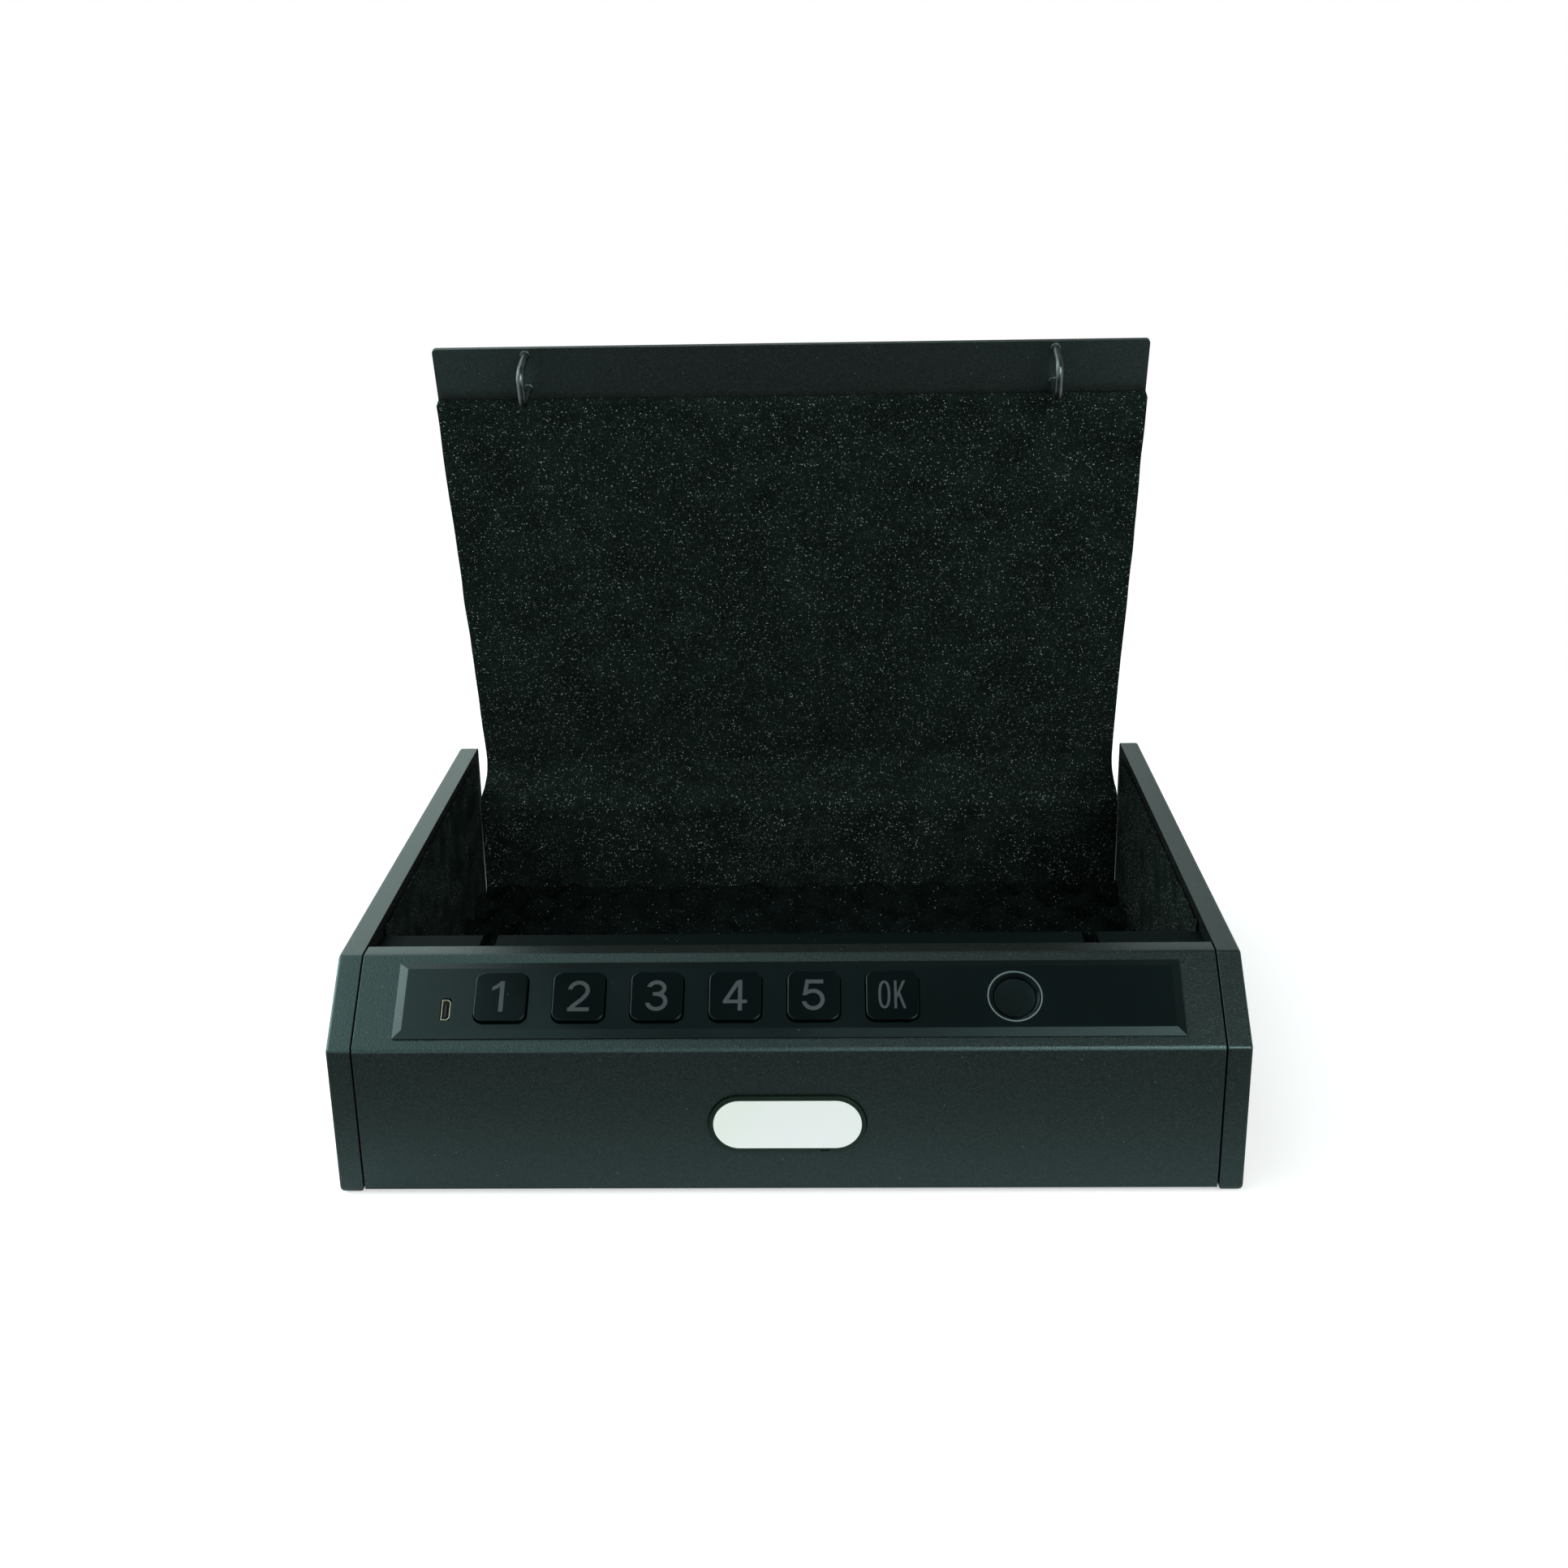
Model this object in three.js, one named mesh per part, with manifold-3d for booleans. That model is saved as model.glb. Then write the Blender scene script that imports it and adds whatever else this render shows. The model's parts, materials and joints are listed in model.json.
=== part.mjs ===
// Portable car safe, open: bent steel case, sloped keypad panel, swinging lid, motor-driven lock bar.
// Millimetres. X runs along the front from left to right, Y from the front to the back, Z up.
import * as THREE from 'three';
import { mergeVertices } from 'three/addons/utils/BufferGeometryUtils.js';
import Module from 'manifold-3d';

const wasm = await Module();
wasm.setup();

// Case: outer size and the profile that the shell and the end plates share
const CASE_WIDTH = 315;
const CASE_DEPTH = 259;
const CASE_HEIGHT = 79;
const SLOPE_RISE = 23.2;
const SLOPE_RUN = 28;
const LEDGE_DEPTH = 9.2;
const END_PLATE = 8.4;
const END_EDGE = 1.2;
const END_FOOT_RADIUS = 3;
const END_CREST_RADIUS = 1.5;
const SHEET = 1.5;
const SHEET_BEND = 2.4;
const FLOOR_CLEARANCE = 2;
const BACK_RECESS = 4;

// Fits
const SEAT = 0.3;
const OVERRUN = 2;
const WELD_TOLERANCE = 1e-4;

// Lid
const LID_SIDE_GAP = 1.6;
const LID_SHEET = 2;
const LID_BEND = 3.2;
const LID_CORNER = 1.5;
const LID_GAP = 0.3;
const LID_OPEN = THREE.MathUtils.degToRad(72.7);

// Hinge
const HINGE_DROP = 28.5;
const KNUCKLE_RADIUS = 2.6;
const PIN_RADIUS = 1.15;
const PIN_END = 0.6;
const LEAF_SHEET = 0.9;
const LEAF_REACH = 16;
const KNUCKLE_GAP = 0.35;
const KNUCKLES = 12;
const SPRING_KNUCKLES = [3, 8];

// Lid springs
const SPRING_WIRE = 0.5;
const SPRING_COIL = 1.95;
const SPRING_END = 1.6;
const SPRING_LEG = 13;
const SPRING_TURNS = 8;
const COIL_STEPS = 8;
const WIRE_SIDES = 5;
const GAP_POINTS = 5;

// Strikers
const STRIKER_SIDE = 40.1;
const STRIKER_WIRE = 1.65;
const STRIKER_DROP = 20.35;
const STRIKER_REACH = 14.8;
const STRIKER_INSET = 1.25;
const STRIKER_BEND = 4.6;
const STRIKER_STEPS = 26;

// Foam
const LID_FOAM = 6;
const LID_FOAM_CLEAR = 0.5;
const LID_FOAM_BEND = 2;
const BACK_FOAM = 6;
const BACK_FOAM_INSET = 1.3;
const SIDE_FOAM = 1;
const SIDE_FOAM_DROP = 3.5;
const SIDE_FOAM_STOP = 14;
const FLOOR_FOAM_THICK = 14.2;
const CRATE_DEPTH = 9;
const CRATE_ROWS = 27;
const CRATE_COLUMNS = 42;
const CRATE_CELLS = 4;

// Lock housing
const HOUSING_DROP = 5.8;
const HOUSING_TUCK = 4;
const NOTCH_SIDE = 1.15;
const NOTCH_FRONT = 0.45;
const NOTCH_DROP = 9.5;

// Keypad module, placed along the slope
const BEZEL_SIDE = 13.45;
const BEZEL_DEPTH = 28.4;
const BEZEL_UP = 4.25;
const BEZEL_HEIGHT = 2.2;
const BEZEL_CHAMFER = 2.75;
const BEZEL_CORNER = 0.6;
const SKIRT_CORNER = 3.2;
const SKIRT_INSET = 3.2;
const SKIRT_WALL = 1;
const SKIRT_DROP = 5.7;
const BOARD_SHEET = 1.6;

// Keys, their places as shares of the module's length
const KEY_SIDE = 18.2;
const KEY_CORNER = 3;
const KEY_PITCH_SHARE = 0.099152;
const KEY_FIRST_SHARE = -0.361961;
const KEY_PROUD = 1.9;
const KEY_EDGE = 0.8;
const KEY_LIP = 0.9;
const KEY_LIP_SHEET = 1;
const KEY_TRAVEL = 1.2;
const KEY_NAMES = ['key_1', 'key_2', 'key_3', 'key_4', 'key_5', 'key_ok'];
const SWITCH_SIDE = 6.2;
const SWITCH_STEM = 1.7;
const SWITCH_STEM_HEIGHT = 0.6;

// Fingerprint sensor
const SENSOR_SHARE = 0.288242;
const SENSOR_RADIUS = 7.2;
const SENSOR_SINK = 1.3;
const SENSOR_FLANGE = 1.6;
const SENSOR_DEPTH = 4.4;
const SENSOR_FLANGE_SHEET = 1.1;
const RING_RADIUS = 9.65;
const RING_WIDTH = 0.7;
const RING_PROUD = 0.15;
const RING_DEPTH = 1.3;
const DISH_LIP = 0.25;

// Charging socket, its long side along the slope
const SOCKET_SHARE = -0.432916;
const SOCKET_UP = 15.15;
const SOCKET_WIDTH = 3;
const SOCKET_LENGTH = 7.6;
const SOCKET_CHAMFER = 0.9;
const SOCKET_WALL = 0.35;
const SOCKET_DEPTH = 5.2;
const SOCKET_SINK = 0.3;
const SOCKET_BACK = 0.8;
const SOCKET_GAP = 0.35;
const TONGUE_SHEET = 0.6;
const TONGUE_LENGTH = 5.2;
const TONGUE_SINK = 0.7;

// Badge that covers the override key lock
const BADGE_LENGTH = 55.3;
const BADGE_WIDTH = 22.7;
const BADGE_SHARE = 0.500896;
const BADGE_RIM = 1.9;
const BADGE_PROUD = 1.9;
const BADGE_ROUND = 0.6;
const INSERT_SHEET = 0.5;
const NICK_X = 12.8;
const NICK_WIDTH = 3;
const NICK_DEPTH = 0.9;

// Override key lock
const BARREL_RADIUS = 7;
const BARREL_LENGTH = 20;
const BARREL_HEAD = 1.1;
const BARREL_HEAD_SHEET = 0.5;
const PLUG_RADIUS = 4.6;
const PLUG_SINK = 1;
const PLUG_STUB = 3;
const PLUG_STUB_LENGTH = 4.6;
const KEYWAY_WIDTH = 1.3;
const KEYWAY_LENGTH = 6.4;
const KEYWAY_DEPTH = 9;
const NUT_ACROSS = 20;
const NUT_SHEET = 3;
const CAM_SHEET = 2;
const CAM_HALF = 3.9;
const CAM_REACH = 13.85;
const CAM_TIP = 2.4;

// Lock bar, its bracket and guide pins
const BAR_SHEET = 3;
const BAR_SETBACK = 6.6;
const BAR_GAP = 0.65;
const BAR_TALL = 12;
const BAR_TRAVEL = 8;
const HOOK_SHANK = 8;
const HOOK_RELEASE = 0.45;
const NOSE_GAP = 2.25;
const NOSE_TALL = 5.6;
const NOSE_SLOPE = 2.4;
const BAR_TAIL = 5;
const FINGER_SHEET = 2;
const FINGER_GAP = 0.4;
const FINGER_DROP = 6;
const GUIDE_SHARE = 0.678899;
const GUIDE_RADIUS = 1.8;
const GUIDE_HEAD = 3.6;
const GUIDE_HEAD_SHEET = 1.5;
const GUIDE_RIVET = 2.9;
const GUIDE_RIVET_SHEET = 1.2;
const GUIDE_UP = 7;
const BRACKET_SHARE = 0.844037;
const BRACKET_RISE = 1.8;
const BRACKET_FOOT = 6.4;

// Drive: rack on the bar, pinion on the gear motor
const MODULE = 1;
const PINION_TEETH = 12;
const PINION_SHARE = -0.412844;
const TOOTH_ROOT_DROP = 1.25;
const RACK_TEETH = 9;
const RACK_TOOTH_SHARES = [0.27, 0.2, 0.11];
const PINION_TOOTH_SHARES = [0.25, 0.205, 0.1];
const PINION_OVERHANG = 0.25;
const SHAFT_RADIUS = 1.5;
const GEARBOX_WIDTH = 12;
const GEARBOX_TALL = 10;
const GEARBOX_LENGTH = 9;
const MOTOR_LENGTH = 15;
const MOTOR_ROUND = 4.9;
const TERMINAL_LENGTH = 1.6;
const TERMINAL_WIDTH = 6;
const MOUNT_HALF = 9;
const MOUNT_FOOT = 13;
const MOUNT_GAP = 2.7;
const MOUNT_MARGIN = 2;

// Battery box
const CELL_RADIUS = 7.1;
const CELL_LENGTH = 49;
const CELL_BUTTON = 2.75;
const CELL_BUTTON_LENGTH = 1.3;
const CELL_GAP = 0.3;
const CELL_CONTACT = 2.7;
const BOX_WALL = 1.2;
const BOX_EDGE = 2.8;
const BOX_DROP = 5.3;
const BOX_FRONT = 3;
const DOOR_MARGIN = 0.5;
const DOOR_PULL_WIDTH = 12;
const DOOR_PULL_TALL = 2.4;
const DOOR_PULL_PROUD = 2;

// Facet counts
const BEND_STEPS = 3;
const CORNER_STEPS = 3;
const ROUND_SIDES = 24;
const SMALL_SIDES = 14;
const RING_SIDES = 36;

// Places worked out from the sizes above
const INNER_HALF = CASE_WIDTH / 2 - END_PLATE;
const SHEET_HALF = INNER_HALF - SEAT;
const LEDGE_REAR = SLOPE_RUN + LEDGE_DEPTH;
const FRONT_HEIGHT = CASE_HEIGHT - SLOPE_RISE;
const SLOPE_ANGLE = Math.atan2(SLOPE_RISE, SLOPE_RUN);
const PAN_TOP = FLOOR_CLEARANCE + SHEET;
const BACK_FACE = CASE_DEPTH - BACK_RECESS;
const LID_WIDTH = 2 * (INNER_HALF - LID_SIDE_GAP);
const HINGE_HEIGHT = CASE_HEIGHT - HINGE_DROP;
const HOUSING_HEIGHT = CASE_HEIGHT - HOUSING_DROP;
const BEZEL_LENGTH = 2 * (INNER_HALF - BEZEL_SIDE);
const SOCKET_X = SOCKET_SHARE * BEZEL_LENGTH;
const SENSOR_X = SENSOR_SHARE * BEZEL_LENGTH;
const BADGE_UP = BADGE_SHARE * FRONT_HEIGHT;
const STRIKER_SPREAD = INNER_HALF - STRIKER_SIDE;
const GUIDE_X = GUIDE_SHARE * STRIKER_SPREAD;
const PINION_X = PINION_SHARE * STRIKER_SPREAD;
const BRACKET_REACH = BRACKET_SHARE * STRIKER_SPREAD;
const BACK_WALL_TOP = HINGE_HEIGHT - KNUCKLE_RADIUS - SEAT;
const LID_FRONT = LEDGE_REAR + LID_GAP;
const FLANGE_LOW = HINGE_HEIGHT + KNUCKLE_RADIUS + SEAT;
const CELL_BAY = CELL_CONTACT + CELL_LENGTH + CELL_BUTTON_LENGTH + CELL_GAP;
const HOUSING_BACK = BOX_FRONT + BOX_WALL + CELL_BAY + SEAT + SHEET;
const LOCK_FLOOR = PAN_TOP + SEAT;
const STRIKER_LOW = CASE_HEIGHT - LID_SHEET - STRIKER_DROP + STRIKER_WIRE;
const BAR_LOW = STRIKER_LOW - STRIKER_WIRE - BAR_GAP - BAR_TALL;
const NOSE_LOW = STRIKER_LOW + STRIKER_WIRE + NOSE_GAP;

// Shape helpers
const AXIS_X = new THREE.Vector3(1, 0, 0);
const AXIS_Y = new THREE.Vector3(0, 1, 0);
const AXIS_Z = new THREE.Vector3(0, 0, 1);
const ALONG_X = new THREE.Matrix4().makeBasis(AXIS_Y, AXIS_Z, AXIS_X);
const ALONG_Y = new THREE.Matrix4().makeBasis(AXIS_X, AXIS_Z, AXIS_Y.clone().negate());

function signedVolume(geometry) {
  const plain = geometry.index ? geometry.toNonIndexed() : geometry;
  const spots = plain.attributes.position;
  const [a, b, c] = [new THREE.Vector3(), new THREE.Vector3(), new THREE.Vector3()];
  let sum = 0;
  for (let i = 0; i < spots.count; i += 3) {
    a.fromBufferAttribute(spots, i);
    b.fromBufferAttribute(spots, i + 1);
    c.fromBufferAttribute(spots, i + 2);
    sum += a.dot(b.cross(c));
  }
  return sum;
}

// One closed body with shared corners and its faces pointing out.
function closed(geometry) {
  const plain = geometry.clone();
  for (const name of Object.keys(plain.attributes)) if (name !== 'position') plain.deleteAttribute(name);
  const merged = mergeVertices(plain, WELD_TOLERANCE);
  merged.clearGroups();
  if (signedVolume(merged) < 0) {
    const order = merged.index.array;
    for (let i = 0; i < order.length; i += 3) [order[i], order[i + 1]] = [order[i + 1], order[i]];
  }
  return merged;
}

function toSolid(geometry) {
  const merged = closed(geometry);
  return new wasm.Manifold(new wasm.Mesh({
    numProp: 3,
    vertProperties: Float32Array.from(merged.attributes.position.array),
    triVerts: Uint32Array.from(merged.index.array),
  }));
}

function toGeometry(solid) {
  const mesh = solid.getMesh();
  const geometry = new THREE.BufferGeometry();
  geometry.setAttribute('position', new THREE.BufferAttribute(Float32Array.from(mesh.vertProperties), 3));
  geometry.setIndex(new THREE.BufferAttribute(Uint32Array.from(mesh.triVerts), 1));
  return geometry;
}

function join(...parts) {
  return toGeometry(parts.map(toSolid).reduce((sum, part) => sum.add(part)));
}

function cut(base, ...cutters) {
  return toGeometry(cutters.map(toSolid).reduce((rest, cutter) => rest.subtract(cutter), toSolid(base)));
}

function shapeOf(outline) {
  return outline instanceof THREE.Shape ? outline : new THREE.Shape(outline.map(([a, b]) => new THREE.Vector2(a, b)));
}

function extrude(outline, depth) {
  return new THREE.ExtrudeGeometry(shapeOf(outline), { depth, bevelEnabled: false, curveSegments: CORNER_STEPS });
}

// Outlines in (Y, Z), (X, Z) and (X, Y), swept along the third axis.
const extrudeX = (outline, from, to) => extrude(outline, to - from).applyMatrix4(ALONG_X).translate(from, 0, 0);
const extrudeY = (outline, from, to) => extrude(outline, to - from).applyMatrix4(ALONG_Y).translate(0, to, 0);
const extrudeZ = (outline, from, to) => extrude(outline, to - from).translate(0, 0, from);

function box(x0, x1, y0, y1, z0, z1) {
  return new THREE.BoxGeometry(x1 - x0, y1 - y0, z1 - z0)
    .translate((x0 + x1) / 2, (y0 + y1) / 2, (z0 + z1) / 2);
}

function rodY(radius, from, to, x, z, sides = ROUND_SIDES) {
  return new THREE.CylinderGeometry(radius, radius, to - from, sides).translate(x, (from + to) / 2, z);
}

function rodZ(radius, from, to, x, y, sides = ROUND_SIDES) {
  return new THREE.CylinderGeometry(radius, radius, to - from, sides)
    .rotateX(Math.PI / 2).translate(x, y, (from + to) / 2);
}

function rodX(radius, from, to, y, z, sides = ROUND_SIDES) {
  return new THREE.CylinderGeometry(radius, radius, to - from, sides)
    .rotateZ(Math.PI / 2).translate((from + to) / 2, y, z);
}

// Turned piece: [radius, height] pairs, closed on themselves or ending on the axis, about Y.
function turned(profile, sides = ROUND_SIDES) {
  return new THREE.LatheGeometry(profile.map(([r, h]) => new THREE.Vector2(r, h)), sides);
}

// Corner points of a rectangle with round corners, the same count for any size.
function roundRect(width, height, radius, cx = 0, cy = 0, steps = CORNER_STEPS) {
  const points = [];
  [[1, 1], [-1, 1], [-1, -1], [1, -1]].forEach(([sx, sy], corner) => {
    for (let i = 0; i <= steps; i++) {
      const angle = (corner + i / steps) * Math.PI / 2;
      points.push([
        cx + sx * (width / 2 - radius) + radius * Math.cos(angle),
        cy + sy * (height / 2 - radius) + radius * Math.sin(angle),
      ]);
    }
  });
  return points;
}

// Body through a stack of outlines with equal counts: [outline, height] pairs in (X, Y), rising along Z.
function loft(stack) {
  const count = stack[0][0].length;
  const spots = stack.flatMap(([outline, height]) => outline.flatMap(([a, b]) => [a, b, height]));
  const faces = [];
  for (let level = 0; level + 1 < stack.length; level++) {
    for (let i = 0; i < count; i++) {
      const [a, b] = [level * count + i, level * count + (i + 1) % count];
      faces.push(a, b, b + count, a, b + count, a + count);
    }
  }
  const capOf = ([outline]) => THREE.ShapeUtils.triangulateShape(outline.map(([a, b]) => new THREE.Vector2(a, b)), []);
  const top = (stack.length - 1) * count;
  for (const [a, b, c] of capOf(stack[0])) faces.push(a, c, b);
  for (const [a, b, c] of capOf(stack.at(-1))) faces.push(top + a, top + b, top + c);
  const geometry = new THREE.BufferGeometry();
  geometry.setAttribute('position', new THREE.Float32BufferAttribute(spots, 3));
  geometry.setIndex(faces);
  return geometry;
}

// Section of a bent sheet. The path is its outer face and the sheet lies to the right of it.
function sheetOutline(path, thickness, radius) {
  const points = path.map(([a, b]) => new THREE.Vector2(a, b));
  const along = points.slice(1).map((point, i) => point.clone().sub(points[i]).normalize());
  const inward = along.map((d) => new THREE.Vector2(d.y, -d.x));
  const outer = [points[0]];
  const inner = [points[0].clone().addScaledVector(inward[0], thickness)];
  for (let i = 1; i < points.length - 1; i++) {
    const [n1, n2] = [inward[i - 1], inward[i]];
    const corner = (depth) => points[i].clone().addScaledVector(n1.clone().add(n2), depth / (1 + n1.dot(n2)));
    const centre = corner(radius);
    const turn = n1.angleTo(n2);
    const side = Math.sign(n1.cross(n2));
    for (let k = 0; k <= BEND_STEPS; k++) {
      const arm = n1.clone().negate().rotateAround(new THREE.Vector2(), side * turn * k / BEND_STEPS);
      outer.push(centre.clone().addScaledVector(arm, radius));
      if (radius > thickness) inner.push(centre.clone().addScaledVector(arm, radius - thickness));
    }
    if (radius <= thickness) inner.push(corner(thickness));
  }
  outer.push(points.at(-1));
  inner.push(points.at(-1).clone().addScaledVector(inward.at(-1), thickness));
  return [...outer, ...inner.reverse()].map((point) => [point.x, point.y]);
}

function polygon(radius, sides) {
  return Array.from({ length: sides }, (_, i) => {
    const angle = i / sides * 2 * Math.PI;
    return [radius * Math.cos(angle), radius * Math.sin(angle)];
  });
}

function tube(path, radius, steps, sides) {
  return new THREE.ExtrudeGeometry(shapeOf(polygon(radius, sides)), { steps, extrudePath: path, curveSegments: 1 });
}

function mirrored(geometry) {
  return closed(geometry.clone().scale(-1, 1, 1));
}

// Finishes
const finish = (color, roughness, metalness) => new THREE.MeshStandardMaterial({ color, roughness, metalness });
const POWDER = () => finish(0x26302f, 0.55, 0.25);
const GLOSS = () => finish(0x0b0c0d, 0.12, 0);
const KEYCAP = () => finish(0x0d0e10, 0.2, 0);
const FOAM = () => finish(0x1b1e1e, 0.95, 0);
const STEEL = () => finish(0x8d9094, 0.35, 0.9);
const WIRE = () => finish(0x5c6669, 0.3, 0.9);
const BRASS = () => finish(0xb99a55, 0.3, 0.9);
const WHITE = () => finish(0xf2f2f0, 0.35, 0);
const GREY = () => finish(0xb9bcbe, 0.3, 0.1);
const GREEN = () => finish(0x1f5a3a, 0.6, 0);
const PLASTIC = () => finish(0x17191a, 0.6, 0);
const CELL = () => finish(0x2d3338, 0.35, 0.5);

const safe = new THREE.Group();

function add(group, name, geometry, material) {
  const mesh = new THREE.Mesh(closed(geometry), material);
  mesh.name = name;
  group.add(mesh);
  return mesh;
}

// Side profile of the case, cut into both end plates
function endProfile() {
  const shape = new THREE.Shape();
  const foot = END_FOOT_RADIUS;
  const rear = CASE_DEPTH;
  const crest = END_CREST_RADIUS;
  shape.moveTo(foot, 0);
  shape.lineTo(rear - foot, 0);
  shape.absarc(rear - foot, foot, foot, -Math.PI / 2, 0, false);
  shape.lineTo(rear, CASE_HEIGHT - crest);
  shape.absarc(rear - crest, CASE_HEIGHT - crest, crest, 0, Math.PI / 2, false);
  const knee = crest * Math.tan(SLOPE_ANGLE / 2);
  shape.lineTo(SLOPE_RUN + knee, CASE_HEIGHT);
  shape.absarc(SLOPE_RUN + knee, CASE_HEIGHT - crest, crest, Math.PI / 2, Math.PI / 2 + SLOPE_ANGLE, false);
  const brow = crest * Math.tan((Math.PI / 2 - SLOPE_ANGLE) / 2);
  shape.absarc(crest, FRONT_HEIGHT - brow, crest, Math.PI / 2 + SLOPE_ANGLE, Math.PI, false);
  shape.lineTo(0, foot);
  shape.absarc(foot, foot, foot, Math.PI, Math.PI * 3 / 2, false);
  return shape;
}

// The outer rim is rounded, the inner face is flat against the ends of the sheets.
function endPlate() {
  const rounded = new THREE.ExtrudeGeometry(endProfile(), {
    depth: END_PLATE - END_EDGE, bevelSize: END_EDGE, bevelThickness: END_EDGE, bevelOffset: -END_EDGE,
    bevelSegments: BEND_STEPS, curveSegments: CORNER_STEPS,
  }).applyMatrix4(ALONG_X).translate(INNER_HALF, 0, 0);
  return cut(rounded, box(INNER_HALF - END_EDGE - OVERRUN, INNER_HALF, -OVERRUN, CASE_DEPTH + OVERRUN,
    -OVERRUN, CASE_HEIGHT + OVERRUN));
}
add(safe, 'right_end_plate', endPlate(), POWDER());
add(safe, 'left_end_plate', mirrored(endPlate()), POWDER());

const pan = sheetOutline([
  [BACK_FACE, BACK_WALL_TOP], [BACK_FACE, FLOOR_CLEARANCE], [SHEET + SEAT, FLOOR_CLEARANCE],
], SHEET, SHEET_BEND);
add(safe, 'base_pan', extrudeX(pan, -SHEET_HALF, SHEET_HALF), POWDER());

const skirtLength = BEZEL_LENGTH - 2 * SKIRT_INSET;
const skirtDepth = BEZEL_DEPTH - 2 * SKIRT_INSET;
const bezelMid = BEZEL_UP + BEZEL_DEPTH / 2;
const onSlope = (geometry) => geometry.rotateX(SLOPE_ANGLE).translate(0, 0, FRONT_HEIGHT);
const shellPath = [
  [0, FLOOR_CLEARANCE], [0, FRONT_HEIGHT], [SLOPE_RUN, CASE_HEIGHT], [LEDGE_REAR, CASE_HEIGHT],
  [LEDGE_REAR, HOUSING_HEIGHT + SEAT],
];
const shellWindow = onSlope(extrudeZ(
  roundRect(skirtLength + 2 * SEAT, skirtDepth + 2 * SEAT, SKIRT_CORNER, 0, bezelMid), -SHEET - OVERRUN, OVERRUN));
add(safe, 'front_shell', cut(
  extrudeX(sheetOutline(shellPath, SHEET, SHEET_BEND), -SHEET_HALF, SHEET_HALF),
  shellWindow,
  rodY(BARREL_RADIUS + SEAT, -OVERRUN, SHEET + OVERRUN, 0, BADGE_UP),
), POWDER());

// Strikers, and the housing that they drop into
const strikerFront = LID_FRONT + STRIKER_INSET + STRIKER_WIRE;
const strikerRear = strikerFront + STRIKER_REACH;
const lidUnder = CASE_HEIGHT - LID_SHEET;

// Battery bay: two cells by two, lying front to back, behind the door
const cellStep = 2 * CELL_RADIUS + CELL_GAP;
const bayInner = 2 * cellStep + CELL_GAP;
const bayRight = INNER_HALF - BOX_EDGE - BOX_WALL;
const bayLeft = bayRight - bayInner;
const bayHigh = FRONT_HEIGHT - BOX_DROP - BOX_WALL;
const bayLow = bayHigh - bayInner;
const wallFront = HOUSING_BACK - SHEET;
const bayRear = wallFront - SEAT;
const doorOutline = (inset) => roundRect(bayInner + 2 * (DOOR_MARGIN - inset), bayInner + 2 * (DOOR_MARGIN - inset),
  DOOR_MARGIN, (bayLeft + bayRight) / 2, (bayLow + bayHigh) / 2);

function strikerNotch(x) {
  const half = STRIKER_WIRE + NOTCH_SIDE;
  return box(x - half, x + half, strikerFront - STRIKER_WIRE - NOTCH_FRONT, HOUSING_BACK + OVERRUN,
    HOUSING_HEIGHT - NOTCH_DROP, HOUSING_HEIGHT + OVERRUN);
}
const housing = sheetOutline([
  [LEDGE_REAR - HOUSING_TUCK, HOUSING_HEIGHT], [HOUSING_BACK, HOUSING_HEIGHT], [HOUSING_BACK, LOCK_FLOOR],
], SHEET, SHEET_BEND);
add(safe, 'lock_housing', cut(
  extrudeX(housing, -SHEET_HALF, SHEET_HALF),
  strikerNotch(-STRIKER_SPREAD), strikerNotch(STRIKER_SPREAD),
  extrudeY(doorOutline(0), wallFront - OVERRUN, HOUSING_BACK + OVERRUN),
), POWDER());

const bayMidX = (bayLeft + bayRight) / 2;
add(safe, 'battery_box', cut(
  box(bayLeft - BOX_WALL, bayRight + BOX_WALL, BOX_FRONT, bayRear, LOCK_FLOOR, bayHigh + BOX_WALL),
  box(bayLeft, bayRight, BOX_FRONT + BOX_WALL, bayRear + OVERRUN, bayLow, bayHigh),
  box(bayLeft, bayRight, BOX_FRONT - OVERRUN, bayRear + OVERRUN, LOCK_FLOOR - OVERRUN, bayLow - BOX_WALL),
), PLASTIC());
const cellEnd = bayRear - CELL_GAP;
[[0, 0], [1, 0], [0, 1], [1, 1]].forEach(([column, row], i) => {
  const profile = [
    [0, 0], [CELL_RADIUS, 0], [CELL_RADIUS, CELL_LENGTH], [CELL_BUTTON, CELL_LENGTH],
    [CELL_BUTTON, CELL_LENGTH + CELL_BUTTON_LENGTH], [0, CELL_LENGTH + CELL_BUTTON_LENGTH],
  ];
  const cell = turned(profile, ROUND_SIDES);
  if (row === column) cell.rotateX(Math.PI).translate(0, CELL_LENGTH + CELL_BUTTON_LENGTH, 0);
  cell.translate(bayLeft + CELL_GAP + CELL_RADIUS + column * cellStep,
    cellEnd - CELL_LENGTH - CELL_BUTTON_LENGTH, bayLow + CELL_GAP + CELL_RADIUS + row * cellStep);
  add(safe, `battery_${i + 1}`, cell, CELL());
});
const pullMid = (bayLow + bayHigh) / 2;
add(safe, 'battery_door', join(
  extrudeY(doorOutline(SEAT), wallFront, HOUSING_BACK),
  box(bayMidX - DOOR_PULL_WIDTH / 2, bayMidX + DOOR_PULL_WIDTH / 2, wallFront, HOUSING_BACK + DOOR_PULL_PROUD,
    pullMid - DOOR_PULL_TALL / 2, pullMid + DOOR_PULL_TALL / 2),
), PLASTIC());

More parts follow.
